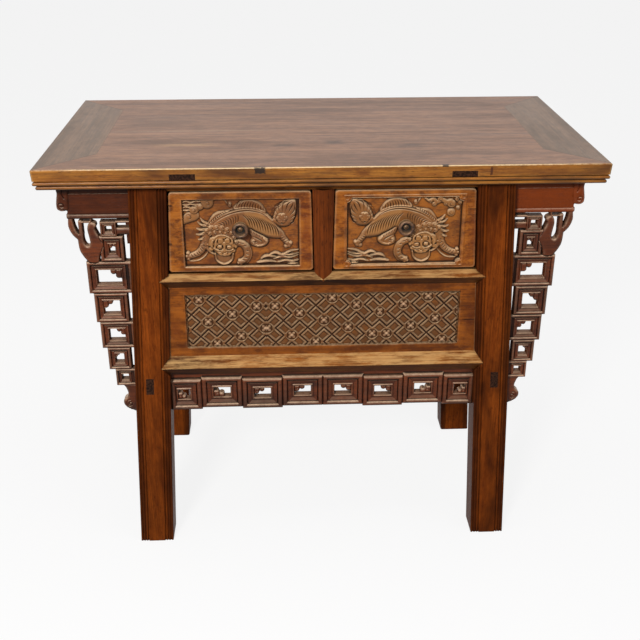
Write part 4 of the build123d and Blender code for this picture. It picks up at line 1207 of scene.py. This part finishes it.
def carve_mane(field):
    """Flames of hair at the nape side, curls over the brow, and the dish below the chin."""
    field.tint = 0.3
    field.pad([(62, 24), (62, 12), (68, 6), (76, 4.5), (85, 7), (91, 13), (92, 24)], 1.0, 3.0, 0.5)
    dish = [(60, 26), (61, 14), (66.5, 7), (76, 4), (86, 7), (92, 14), (94, 25)]
    field.strap(dish, (1.8, 2.3, 2.3, 1.8), 3.0, 1.2)
    cheek = [(46, 68), (46, 54), (48, 42), (54, 30), (62, 24), (50, 26), (40, 38), (37, 52), (40, 66)]
    field.pad(cheek, 3.2, 5, 1.4)
    for root, tip, wide in (((46, 88), (33, 99), 3.0), ((44, 84), (28, 91), 3.4), ((43, 77), (25, 78), 3.2),
                            ((42, 70), (24, 66), 3.4), ((42, 62), (27, 55), 3.2), ((43, 54), (31, 44), 3.0),
                            ((45, 46), (37, 36), 2.8)):
        bend = halfway(root, tip, 0.0, -2.0)
        field.strap([root, bend, tip], (wide, 0.8 * wide, 0.3), 3.2, 1.6)
        field.cut([root, bend], 0.9, 1.4)
    for centre, radius in (((46, 75), 5.5), ((54, 79.5), 6.2), ((64.5, 80.5), 6.4), ((75, 79.5), 6.4),
                           ((85, 76), 6.2), ((93.5, 69), 5.8), ((51, 69), 5.0), ((61, 71.5), 4.8),
                           ((72, 71.5), 4.8), ((82, 69.5), 4.8), ((97, 60), 4.8), ((101, 51), 4.4)):
        field.knob(centre, radius, 2.8, 4.2)
        field.cut(curl(centre, 0.62 * radius, 1.0, 150, -1, 0.2), 0.9, 1.4, smooth=False)
    field.tint = 1.0
    for turn in np.linspace(-60, 200, 11):
        field.knob((74.5 + 23.5 * cos(radians(turn)), 43.5 + 20.5 * sin(radians(turn))), 4.8, 2.0, 3.0)


def carve_head(field):
    """A broad mask: round eyes in sunk rings under an arched brow, flat nose, jowls and grooved temples."""
    field.tint = 0.8
    face = [(47, 50), (50, 58), (56, 62.5), (63, 65), (71, 66.5), (80, 66.5), (89, 63.5), (95, 58),
            (98.5, 50), (99, 40), (96, 31), (90, 24.5), (82, 21), (73, 21), (65, 25), (58, 32), (52, 39),
            (48, 44)]
    field.pad(face, 3.0, 6, 3.0)
    for points, wide in (([(59, 58), (63, 62.5), (70, 64.8), (80, 64.3), (88, 60.5)], 2.0),
                         ([(54, 40), (52.5, 47), (56, 55)], 2.0), ([(62, 44.5), (61, 50.5), (64.3, 57)], 2.0),
                         ([(92, 47), (93.8, 53), (91, 59)], 1.8),
                         ([(58, 39), (63, 35), (70, 33.6), (76, 35)], 1.6),
                         ([(80, 34.5), (87, 33.2), (95, 36)], 1.6), ([(77.6, 47), (78, 41), (78, 35)], 2.4)):
        field.strap(points, (0.6 * wide, wide, 0.5 * wide), 1.8, on_top=True)
    for centre, radius, height in (((70, 53.5), 5.0, 1.8), ((84.5, 53.5), 4.8, 1.8), ((77.6, 48), 3.4, 1.2),
                                   ((78, 34), 3.2, 1.4), ((71, 28), 5.4, 1.8), ((85, 27), 5.2, 1.8),
                                   ((78, 24.5), 3.6, 1.4)):
        field.knob(centre, radius, height, on_top=True)
    for line in ([(55, 38), (57, 43), (56.5, 48)], [(58.4, 45), (58, 51), (60.8, 56.5)],
                 [(65.6, 47.5), (64.8, 53), (67, 58.5)], [(75, 60), (77.3, 56), (77.6, 51)],
                 [(82.6, 60), (78.6, 56)], [(88.6, 48.5), (90, 53.5), (87.5, 58.5)],
                 [(96, 45), (97, 50), (95, 55)], [(64, 31.5), (69, 31.6), (74, 30)],
                 [(81, 30.4), (86, 30.8), (92, 29.8)], [(66, 24), (72, 22.6), (78, 21.5), (86, 23)],
                 [(94, 41), (97, 38), (97, 33)], [(60, 37), (63, 40), (62, 44)],
                 [(66, 34.8), (70, 36.2), (74, 35.6)], [(73.5, 45), (74.5, 41), (73, 37.5)],
                 [(81.5, 44), (82, 40), (83.5, 36.6)], [(83, 31.6), (84, 28), (82, 25.4)],
                 [(72.6, 31), (74.4, 28), (73.6, 25)]):
        field.cut(line, 1.5, 2.2)
    for eye in ((69, 41), (86.5, 39.8)):
        ring = [(eye[0] + 6.4 * cos(turn), eye[1] + 4.9 * sin(turn)) for turn in np.linspace(0, 2 * pi, 17)]
        part, u, w = field.window(np.array(ring), 3.0)
        around = np.clip(1 - strap_gap(u, w, ring, (0.0, 0.0)) / 1.4, 0, 1)
        field.rise[part] -= 1.4 * around
        # Painted shade in the ring round each eye.
        field.ink[part] = np.maximum(field.ink[part], 0.45 * around)
        field.knob(eye, 3.2, 1.0, on_top=True)
        field.cut([(eye[0] - 2.6, eye[1] + 1.0), eye, (eye[0] + 2.4, eye[1] + 0.6)], 1.5, 1.2, smooth=False)


def carve_lion(carve_clouds):
    """The whole field. Its u runs from the lion's head side, and heights lie over the sunk ground."""
    field = Carving(field_width, field_height, 0.5)
    carve_clouds(field)
    carve_water(field)
    for points in ([(82, 134), (84, 128), (88, 124), (86, 131)],
                   [(90, 130), (95, 127), (93, 120), (88, 122)]):
        field.pad(points, 2.0, 2.5, 0.6)
    carve_tail(field)
    carve_legs(field)
    carve_body(field)
    carve_mane(field)
    carve_head(field)
    u, w = field.across, field.up
    fur = np.sin(u * 3.1 + np.sin(w * 1.7)) * np.sin(w * 3.4 + np.sin(u * 1.3))
    waver = 0.18 * np.sin(u * 0.21 + 1.3) * np.sin(w * 0.17) + 0.06 * fur
    ribs = polygon_gap(u, w, [(118, 112), (150, 108), (174, 88), (186, 62), (150, 66), (126, 80)]) < 0
    field.glow = soften(np.where(ribs & (field.glow < 0.4), 0.8, field.glow), 2.0)
    field.rise = soften(np.where(field.rise > 0.6, field.rise + 0.14 * fur, field.rise + waver), 0.6)
    under_plate = np.hypot(u - plate_place[0], w - plate_place[1]) < plate_seat_radius
    field.rise = np.where(under_plate, np.minimum(field.rise, plate_seat_rise), field.rise)
    return field


lip_round = 1.6
field_sink = 8.0
relief = 1.38
border_place, border_half, border_depth = 4.2, 2.0, 0.9
drawer_edge_round = 2.2
corner_round = 7.0
notch = 9.0
drawer_gap = 2.2
stile_foot_half, stile_head_half = 17.0, 21.0


def make_drawer_front_mesh(name, side, field, notched):
    """A drawer front: a board with eased edges and a sunk field that holds the carved lion."""
    low, high = edges_of(name)
    z_low, z_high = low[2], high[2]
    z_open, z_top = edges_of("middle_rail_front")[1][2], edges_of("upper_rail_front")[0][2]
    field_low, field_high = z_open + field_margin_foot, z_open + field_margin_foot + field_height
    field_near, field_far = field_centre - field_width / 2, field_centre + field_width / 2

    def stile_line(z):
        share = (z - z_open) / (z_top - z_open)
        return stile_foot_half + drawer_gap + (stile_head_half - stile_foot_half) * share

    def gap(x, z):
        right = side * x
        beside = np.maximum(stile_line(z) - right, right - leg_inner(z) + drawer_gap) + corner_round
        above = np.maximum(z_low - z, z - z_high) + corner_round
        corner = np.hypot(np.maximum(beside, 0), np.maximum(above, 0))
        return corner + np.minimum(np.maximum(beside, above), 0) - corner_round

    def into_field(x, z):
        right = side * x
        into = box_gap(right, z, field_near, field_far, field_low, field_high)
        if notched:
            for cx in (field_near, field_far):
                for cz in (field_low, field_high):
                    into = np.maximum(into, notch - np.hypot(right - cx, z - cz))
        return into

    def depth(x, z):
        u = field_far - side * x
        into = into_field(x, z)
        edge = np.clip(1 + gap(x, z) / drawer_edge_round, 0, 1)
        board = drawer_edge_round * rounded(edge) * 0.6
        lip = np.clip(1 - into / lip_round, 0, 1)
        board = board + lip_round * rounded(lip) * 0.6
        if notched:
            off = np.clip(np.abs(into - border_place) / border_half, 0, 1)
            board = board + border_depth * np.clip(1 - np.abs(off - 1) * 3, 0, 1) * (into > 1)
        wall = np.clip(-into / 1.0, 0, 1)
        rise = np.clip(relief * field.at(field.rise, u, z - field_low), -0.8, 9.4)
        ground = field_sink - rise * np.clip((-into - 0.4) / 1.2, 0, 1)
        return np.where(into < 0, lip_round * 0.6 * (1 - wall) + ground * wall, board)

    def paint(x, z):
        u, w = field_far - side * x, z - field_low
        within = into_field(x, z) < -0.5
        risen = np.clip(field.at(field.rise, u, w) / 0.8, 0, 1)
        return {"figure": within * (0.3 + 0.7 * risen), "glow": within * field.at(field.glow, u, w),
                "ink": within * field.at(field.ink, u, w)}

    ends = sorted((side * (stile_line(z_low) - 1), side * (leg_inner(z_low) + 1)))
    xs = grid_lines(*ends, 0.6, [side * field_near, side * field_far])
    zs = grid_lines(z_low, z_high, 0.6, [field_low, field_high])
    return carved_board(f"{name}_carved", xs, zs, gap, depth, low[1], low[1] + carved_thickness, blur=4.0,
                        plain_back=True, paint=paint)


# ======== pulls ========

def turned(name, profile, centre, sections=48):
    """A form turned about the Y axis from (radius, y) points."""
    corners, faces, rings = [], [], []
    for radius, y in profile:
        if radius < 1e-6:
            rings.append([len(corners)])
            corners.append((centre[0], y, centre[1]))
            continue
        rings.append(list(range(len(corners), len(corners) + sections)))
        for k in range(sections):
            angle = 2 * pi * k / sections
            corners.append((centre[0] + radius * cos(angle), y, centre[1] + radius * sin(angle)))
    for first, second in zip(rings, rings[1:]):
        for k in range(sections):
            a, b = first[k % len(first)], first[(k + 1) % len(first)]
            c, d = second[(k + 1) % len(second)], second[k % len(second)]
            faces.append(list(dict.fromkeys((a, b, c, d))))
    return solid_mesh(name, corners, faces)


def arc(centre, radius, start, end, count=8):
    """Points of an arc in the (radius, y) plane of a turned form."""
    return [(centre[0] + radius * cos(radians(a)), centre[1] + radius * sin(radians(a)))
            for a in np.linspace(start, end, count)]


def make_pull_meshes(name):
    """A round hollow cup with a thick rim, and the plate behind it."""
    low, high = edges_of(f"{name}_pull")
    centre = ((low[0] + high[0]) / 2, (low[2] + high[2]) / 2)
    rim, base = low[1], high[1]
    cup = [(0, base), (9.5, base), (9.2, base - 3), (9.8, base - 6), (12.0, base - 9.5)]
    cup += arc((13.6, rim + 4.0), 2.4, 50, -40, 5)
    cup += arc((12.2, rim + 2.6), 2.6, -60, -150, 6)
    cup += [(9.4, rim + 3.0), (8.8, rim + 4.5), (8.9, rim + 6.5), (8.0, rim + 8.5), (5.5, rim + 10.0),
            (0, rim + 10.6)]
    plate_low, plate_high = edges_of(f"{name}_pull_plate")
    plate = [(0, plate_high[1]), (14.0, plate_high[1]), (14.0, plate_high[1] - 0.5), (13.3, plate_low[1]),
             (12.0, plate_low[1] + 0.5), (0, plate_low[1] + 0.5)]
    return turned(f"{name}_cup", cup, centre), turned(f"{name}_rosette", plate, centre)


# ======== camera, lamps and floor ========

def make_camera():
    camera = bpy.data.objects.new("camera", bpy.data.cameras.new("camera"))
    camera.data.lens = 53.44
    camera.data.sensor_width = 36.0
    camera.location = (-0.0788, -1.9665, 1.376)
    camera.rotation_euler = Euler((radians(90 - 25.84), 0.0, radians(-2.40)))
    bpy.context.scene.collection.objects.link(camera)
    bpy.context.scene.camera = camera


def make_lamp(name, place, at, size, power, tint=(1.0, 1.0, 1.0)):
    data = bpy.data.lights.new(name, "AREA")
    data.shape = "RECTANGLE"
    data.size, data.size_y = size
    data.energy = power
    data.color = tint
    lamp = bpy.data.objects.new(name, data)
    lamp.location = place
    lamp.rotation_euler = (Vector(at) - lamp.location).to_track_quat("-Z", "Y").to_euler()
    bpy.context.scene.collection.objects.link(lamp)


def seen_share(finish):
    """1 where the surface is seen straight, mirrored or through glass, 0 where it only lights others."""
    rays = finish.node("ShaderNodeLightPath")
    return rays["Is Camera Ray"].most(rays["Is Glossy Ray"]).most(rays["Is Transmission Ray"])


def make_floor():
    """A floor that is seen white but for the table's shadow, and sends little light up."""
    finish = new_finish("studio_floor")
    lit = finish.node("ShaderNodeBsdfDiffuse", inputs={"Color": (0.9, 0.9, 0.9, 1.0)})
    glow = finish.node("ShaderNodeEmission", inputs={"Color": (1.0, 1.0, 1.0, 1.0), "Strength": 1.0})
    dull = finish.node("ShaderNodeBsdfDiffuse", inputs={"Color": (0.3, 0.29, 0.28, 1.0)})
    white = finish.node("ShaderNodeMixShader", inputs={0: 0.86, 1: lit, 2: glow})
    shown = finish.node("ShaderNodeMixShader", inputs={0: seen_share(finish), 1: dull, 2: white})
    finish.node("ShaderNodeOutputMaterial", inputs={"Surface": shown})
    mesh = bpy.data.meshes.new("floor")
    reach = 14.0
    mesh.from_pydata([(-reach, -reach, 0), (reach, -reach, 0), (reach, reach, 0), (-reach, reach, 0)], [],
                     [(0, 1, 2, 3)])
    mesh.materials.append(finish.owner)
    floor = bpy.data.objects.new("floor", mesh)
    bpy.context.scene.collection.objects.link(floor)


def make_sky(ambient):
    """The studio's surroundings: white where they are seen, dimmer where they light the table."""
    world = bpy.data.worlds.new("studio")
    bpy.context.scene.world = world
    finish = Finish(world)
    strength = seen_share(finish) * (1.0 - ambient) + ambient
    glow = finish.node("ShaderNodeBackground", inputs={"Color": (1.0, 1.0, 1.0, 1.0), "Strength": strength})
    finish.node("ShaderNodeOutputWorld", inputs={"Surface": glow})


def make_studio():
    bpy.context.scene.view_settings.view_transform = "Standard"
    make_camera()
    make_sky(0.26)
    make_floor()
    make_lamp("key", (-1.0, -2.9, 2.15), (0.0, 0.0, 0.5), (0.6, 0.5), 80.0, (1.0, 0.97, 0.94))
    make_lamp("fill", (2.4, -2.0, 1.4), (0.1, 0.0, 0.5), (1.4, 1.2), 7.0, (0.96, 0.97, 1.0))
    make_lamp("over", (0.0, -0.3, 2.9), (0.0, 0.0, 0.85), (2.2, 1.4), 24.0, (0.97, 0.97, 1.0))


# ======== assembly ========

# Tones: light and middle wood, dark stain, and the pale of bare wood, also used for painted highlights.
top_tones = (rgb(160, 118, 90), rgb(118, 86, 66), rgb(70, 52, 43), rgb(192, 152, 110))
top_end_tones = (rgb(136, 108, 86), rgb(108, 87, 69), rgb(72, 58, 46), rgb(192, 152, 110))
edge_tones = (rgb(180, 118, 46), rgb(134, 78, 26), rgb(72, 38, 14), rgb(230, 182, 114))
leg_tones = (rgb(146, 72, 22), rgb(106, 48, 14), rgb(48, 21, 9), rgb(164, 104, 62))
stile_tones = (rgb(120, 58, 20), rgb(86, 40, 13), rgb(38, 17, 8), rgb(164, 104, 62))
rail_tones = (rgb(156, 92, 34), rgb(116, 60, 20), rgb(62, 30, 11), rgb(228, 180, 116))
drawer_tones = (rgb(178, 106, 36), rgb(142, 74, 18), rgb(82, 38, 10), rgb(232, 194, 150))
panel_tones = (rgb(158, 88, 28), rgb(120, 61, 18), rgb(68, 31, 10), rgb(196, 162, 124))
board_tones = (rgb(150, 78, 26), rgb(116, 52, 17), rgb(66, 29, 12), rgb(184, 122, 68))
dark_tones = (rgb(118, 58, 28), rgb(82, 38, 18), rgb(36, 16, 9), rgb(212, 178, 148))
wing_tones = (rgb(112, 52, 22), rgb(82, 36, 16), rgb(40, 18, 10), rgb(200, 172, 150))
inner_tones = (rgb(176, 128, 78), rgb(148, 100, 58), rgb(108, 72, 42), rgb(190, 148, 100))
end_tones = (rgb(64, 40, 28), rgb(28, 16, 11))


def face_marks(y, rows):
    """Marks on an upright face, from rows of x, z, half width, half height, stain, strength and softness."""
    return [((x, y, z), (wide, 30.0, tall), *look) for x, z, wide, tall, *look in rows]


def dress_top():
    """The mitred frame and the boards, with old dent marks and smudges, a painted highlight along the front
    arris, and the dark tenons of the battens.
    """
    face = dict(figure=0.4, pore=0.26, blotch=0.42, polish=0.42, gloss=0.22, coat=0.06, wear=0.7)
    top = edges_of("top_boards")[1][2]
    edge = (top - 0.8, edge_tones)
    half_length, half_depth = edges_of("top_frame_right")[1][0], -edges_of("top_frame_front")[0][1]
    end_board, side_board = half_length - top_rail_width, half_depth - top_rail_width
    mitre = (sqrt(0.5), -sqrt(0.5), (half_length - half_depth) * sqrt(0.5))
    dents_and_arris_highlight = [((x, -half_depth, top - down), *look) for x, down, *look in (
        # A painted highlight along the front arris.
        (0.0, 0.4, (545.0, 2.2, 1.5), rgb(244, 216, 166), 0.75, 0.3),
        (-118.0, 6.0, (10.0, 9.0, 6.0), rgb(30, 18, 10), 0.95, 0.0),
        (310.0, 12.0, (2.4, 6.0, 8.0), rgb(66, 30, 12), 0.85, 0.0),
        (224.0, 1.0, (6.0, 8.0, 2.0), rgb(30, 16, 10), 0.9, 0.0),
        (72.0, 13.0, (16.0, 6.0, 7.0), rgb(84, 36, 12), 0.6, 0.5),
        (-470.0, 12.0, (60.0, 6.0, 10.0), rgb(96, 58, 22), 0.35, 0.6),
        (380.0, 13.0, (90.0, 6.0, 9.0), rgb(96, 46, 18), 0.45, 0.6))]
    dress(["top_frame_front", "top_frame_back"],
          wood("top_rail", 0, top_tones, 1.0, below=edge, spots=dents_and_arris_highlight, joints=(mitre,), **face))
    dress(["top_frame_left", "top_frame_right"],
          wood("top_end", 1, top_end_tones, 2.0, below=edge, joints=(mitre,), **{**face, "figure": 0.2}))
    smudges = [((x, y, top), (wide, deep, 9.0), *look, 0.7) for x, y, wide, deep, *look in (
        (-71.0, -129.0, 30.0, 13.0, rgb(56, 46, 42), 0.6),
        (27.0, -111.0, 26.0, 20.0, rgb(56, 46, 42), 0.6),
        (177.0, -139.0, 34.0, 20.0, rgb(60, 50, 46), 0.55),
        (-268.0, -120.0, 72.0, 12.0, rgb(196, 156, 108), 0.4),
        (-246.0, -13.0, 190.0, 5.0, rgb(190, 164, 136), 0.35),
        (-330.0, 60.0, 90.0, 60.0, rgb(84, 68, 58), 0.3))]
    joints = ((1.0, 0.0, end_board), (0.0, 1.0, side_board), (0.0, 1.0, side_board / 3))
    dress(["top_boards"], wood("top_board", 0, top_tones, 3.0, spots=smudges, joints=joints, **face))
    tenon_plane = edges_of("top_batten_right")[1][1] - 3.0
    dress(["top_batten_left", "top_batten_right"],
          tenoned_wood("batten_wood", 1, dark_tones, 4.0, tenon_plane, end_tones))


def dress_stand():
    """Legs, rails, stile, side panels and back, each in wood of its own log."""
    marks = [((-385.0, -230.0, 110.0), (60.0, 70.0, 190.0), rgb(56, 26, 10), 0.4, 0.8),
             ((382.0, -250.0, 560.0), (16.0, 40.0, 200.0), rgb(168, 92, 32), 0.3, 0.8)]
    # Painted shade on each leg's reeds and sides, beyond 20 mm from its middle line.
    reeds = (leg_splay, leg_foot - leg_width / 2, 20.0)
    for seed, side in enumerate(("front_left", "front_right", "back_left", "back_right")):
        dress([f"leg_{side}"], wood(f"leg_wood_{side}", 2, leg_tones, 5.0 + seed, figure=0.35, gloss=0.03,
                                    spots=marks, reeds=reeds))
    # The rails' bevels that look up get a painted highlight.
    dress(["upper_rail_front", "upper_rail_back", "middle_rail_front", "middle_rail_back"],
          wood("rail_wood", 0, rail_tones, 9.0, figure=0.4, blotch=1.0, bevel=0.62))
    dress(["bottom_rail_front", "bottom_rail_back"],
          wood("bottom_rail_wood", 0, rail_tones, 9.7, figure=0.4, blotch=1.0, bevel=0.95))
    dress(["centre_stile"], wood("stile_wood", 2, stile_tones, 10.0))
    dress(["upper_side_rail_left", "upper_side_rail_right"], wood("side_rail_wood", 1, leg_tones, 11.0))
    tenon_plane = -edges_of("leg_front_right")[0][1] - 1.0
    dress(["lower_side_rail_left", "lower_side_rail_right"],
          tenoned_wood("tenoned_side_rail", 1, leg_tones, 11.5, tenon_plane, end_tones))
    dress(["side_panel_left", "side_panel_right"], wood("side_panel_wood", 2, board_tones, 12.0))
    dress(["back_panel_upper", "back_panel_lower", "chamber_floor"],
          wood("back_board", 0, board_tones, 13.0, gloss=0.1))


def dress_inside():
    """Runners, guides and the drawers' boxes, in bare wood."""
    bare = wood("bare_inner_wood", 1, inner_tones, 14.0, polish=0.7, gloss=0.1, painted_shade=0.6, wear=0.1)
    dress([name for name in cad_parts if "runner" in name or "guide" in name], bare)
    for side in ("left", "right"):
        dress([f"drawer_{side}_{part}" for part in ("sides", "back", "bottom")], bare)


def add_ornaments():
    """Spandrels and wings on the front and the back, and the apron."""
    ornament_wood = carved_wood("ornament_wood", dark_tones, 15.0, crest=0.6, lit=0.95, shade=0.8, gloss=0.2,
                                painted_shade=0.85)
    # Painted shadow of the top along the wings' upper edge; left wing darker, right one lighter and redder.
    eave_shadow_and_tints = [((0.0, 0.0, under_top - 4.0), (900.0, 900.0, 21.0), rgb(24, 14, 10), 0.8, 0.25),
                   ((-440.0, 0.0, 780.0), (160.0, 900.0, 60.0), rgb(50, 24, 12), 0.4, 0.6),
                   ((440.0, 0.0, 780.0), (160.0, 900.0, 60.0), rgb(176, 78, 22), 0.35, 0.6)]
    wing_wood = carved_wood("wing_wood", wing_tones, 15.5, crest=0.6, lit=0.95, painted_shade=0.85, spots=eave_shadow_and_tints)
    for facing, side in ((-1, "front"), (1, "back")):
        for kind, make_mesh, material in (("spandrel", make_spandrel_mesh, ornament_wood),
                                          ("wing", make_wing_mesh, wing_wood)):
            mesh = make_mesh(f"{kind}_{side}", facing)
            for hand in ("right", "left"):
                add_piece(f"{kind}_{side}_{hand}_carved", mesh, "frame", material,
                          f"{kind}_{side}_{hand}", hand == "left")
    add_piece("apron_carved", make_apron_mesh(), "frame", ornament_wood, "apron")


def add_fret_panel():
    """The lower panel with its crosses, stained near its ends."""
    marks = face_marks(panel_face, (
        (300.0, 540.0, 16.0, 80.0, rgb(76, 32, 14), 0.6, 0.8),
        (296.0, 534.0, 14.0, 1.6, rgb(34, 16, 8), 0.8, 0.2),
        (-296.0, 520.0, 12.0, 30.0, rgb(104, 46, 16), 0.45, 0.8),
        (0.0, 471.0, 330.0, 9.0, rgb(76, 36, 14), 0.5, 0.8)))
    fret_wood = carved_wood("fret_wood", panel_tones, 16.0, hide=rgb(104, 71, 43), glow=rgb(206, 166, 134),
                            crest=1.2, hollow=0.6, lit=1.0, wear=0.36, dappled=0.5, spots=marks)
    add_piece("chamber_front_carved", make_fret_panel_mesh(), "frame", fret_wood,
              "chamber_front_panel")


def add_drawers():
    """The fronts with their lions, and the pulls with their plates and pins."""
    bronze = old_bronze("old_bronze")
    cup_bronze = old_bronze("cup_bronze", edges_of("drawer_left_pull")[0][1])
    red_stain, crack = rgb(104, 36, 14), rgb(30, 15, 8)
    marks_left = ((-158.0, 788.0, 112.0, 26.0, rgb(84, 48, 22), 0.5, 0.7),
                  (-158.0, 650.0, 145.0, 9.0, rgb(88, 42, 16), 0.45, 0.6),
                  (-32.0, 728.0, 15.0, 92.0, red_stain, 0.55, 0.8),
                  (-294.0, 784.6, 8.0, 1.7, crack, 0.9, 0.2),
                  (-297.0, 706.4, 5.0, 3.0, crack, 0.8, 0.2),
                  (-291.0, 730.0, 12.0, 40.0, rgb(112, 62, 22), 0.4, 0.8))
    marks_right = ((302.0, 725.0, 22.0, 62.0, red_stain, 0.55, 0.8),
                   (306.5, 727.6, 3.0, 15.0, crack, 0.9, 0.1),
                   (293.0, 770.0, 15.0, 1.2, crack, 0.7, 0.2))
    for side, way, carve_clouds, hide, marks in (
            ("left", -1, carve_clouds_left, rgb(116, 78, 54), marks_left),
            ("right", 1, carve_clouds_right, rgb(128, 86, 50), marks_right)):
        name = f"drawer_{side}"
        lion_wood = carved_wood(f"{side}_lion_wood", drawer_tones, 17.0 + way, hide=hide,
                                glow=rgb(180, 128, 74), figure=0.4, crest=1.1, hollow=0.6, lit=1.0,
                                gloss=0.18, polish=0.34, wear=0.12, dappled=0.8,
                                spots=face_marks(drawer_face, marks))
        mesh = make_drawer_front_mesh(f"{name}_front", way, carve_lion(carve_clouds), notched=side == "right")
        add_piece(f"{name}_front_carved", mesh, name, lion_wood, f"{name}_front")
        cup, plate = make_pull_meshes(name)
        add_piece(f"{name}_pull_cup", cup, name, cup_bronze, f"{name}_pull")
        add_piece(f"{name}_pull_rosette", plate, name, bronze, f"{name}_pull_plate")
        dress([f"{name}_pull_pin"], bronze)


make_studio()
dress_top()
dress_stand()
dress_inside()
add_ornaments()
add_fret_panel()
add_drawers()
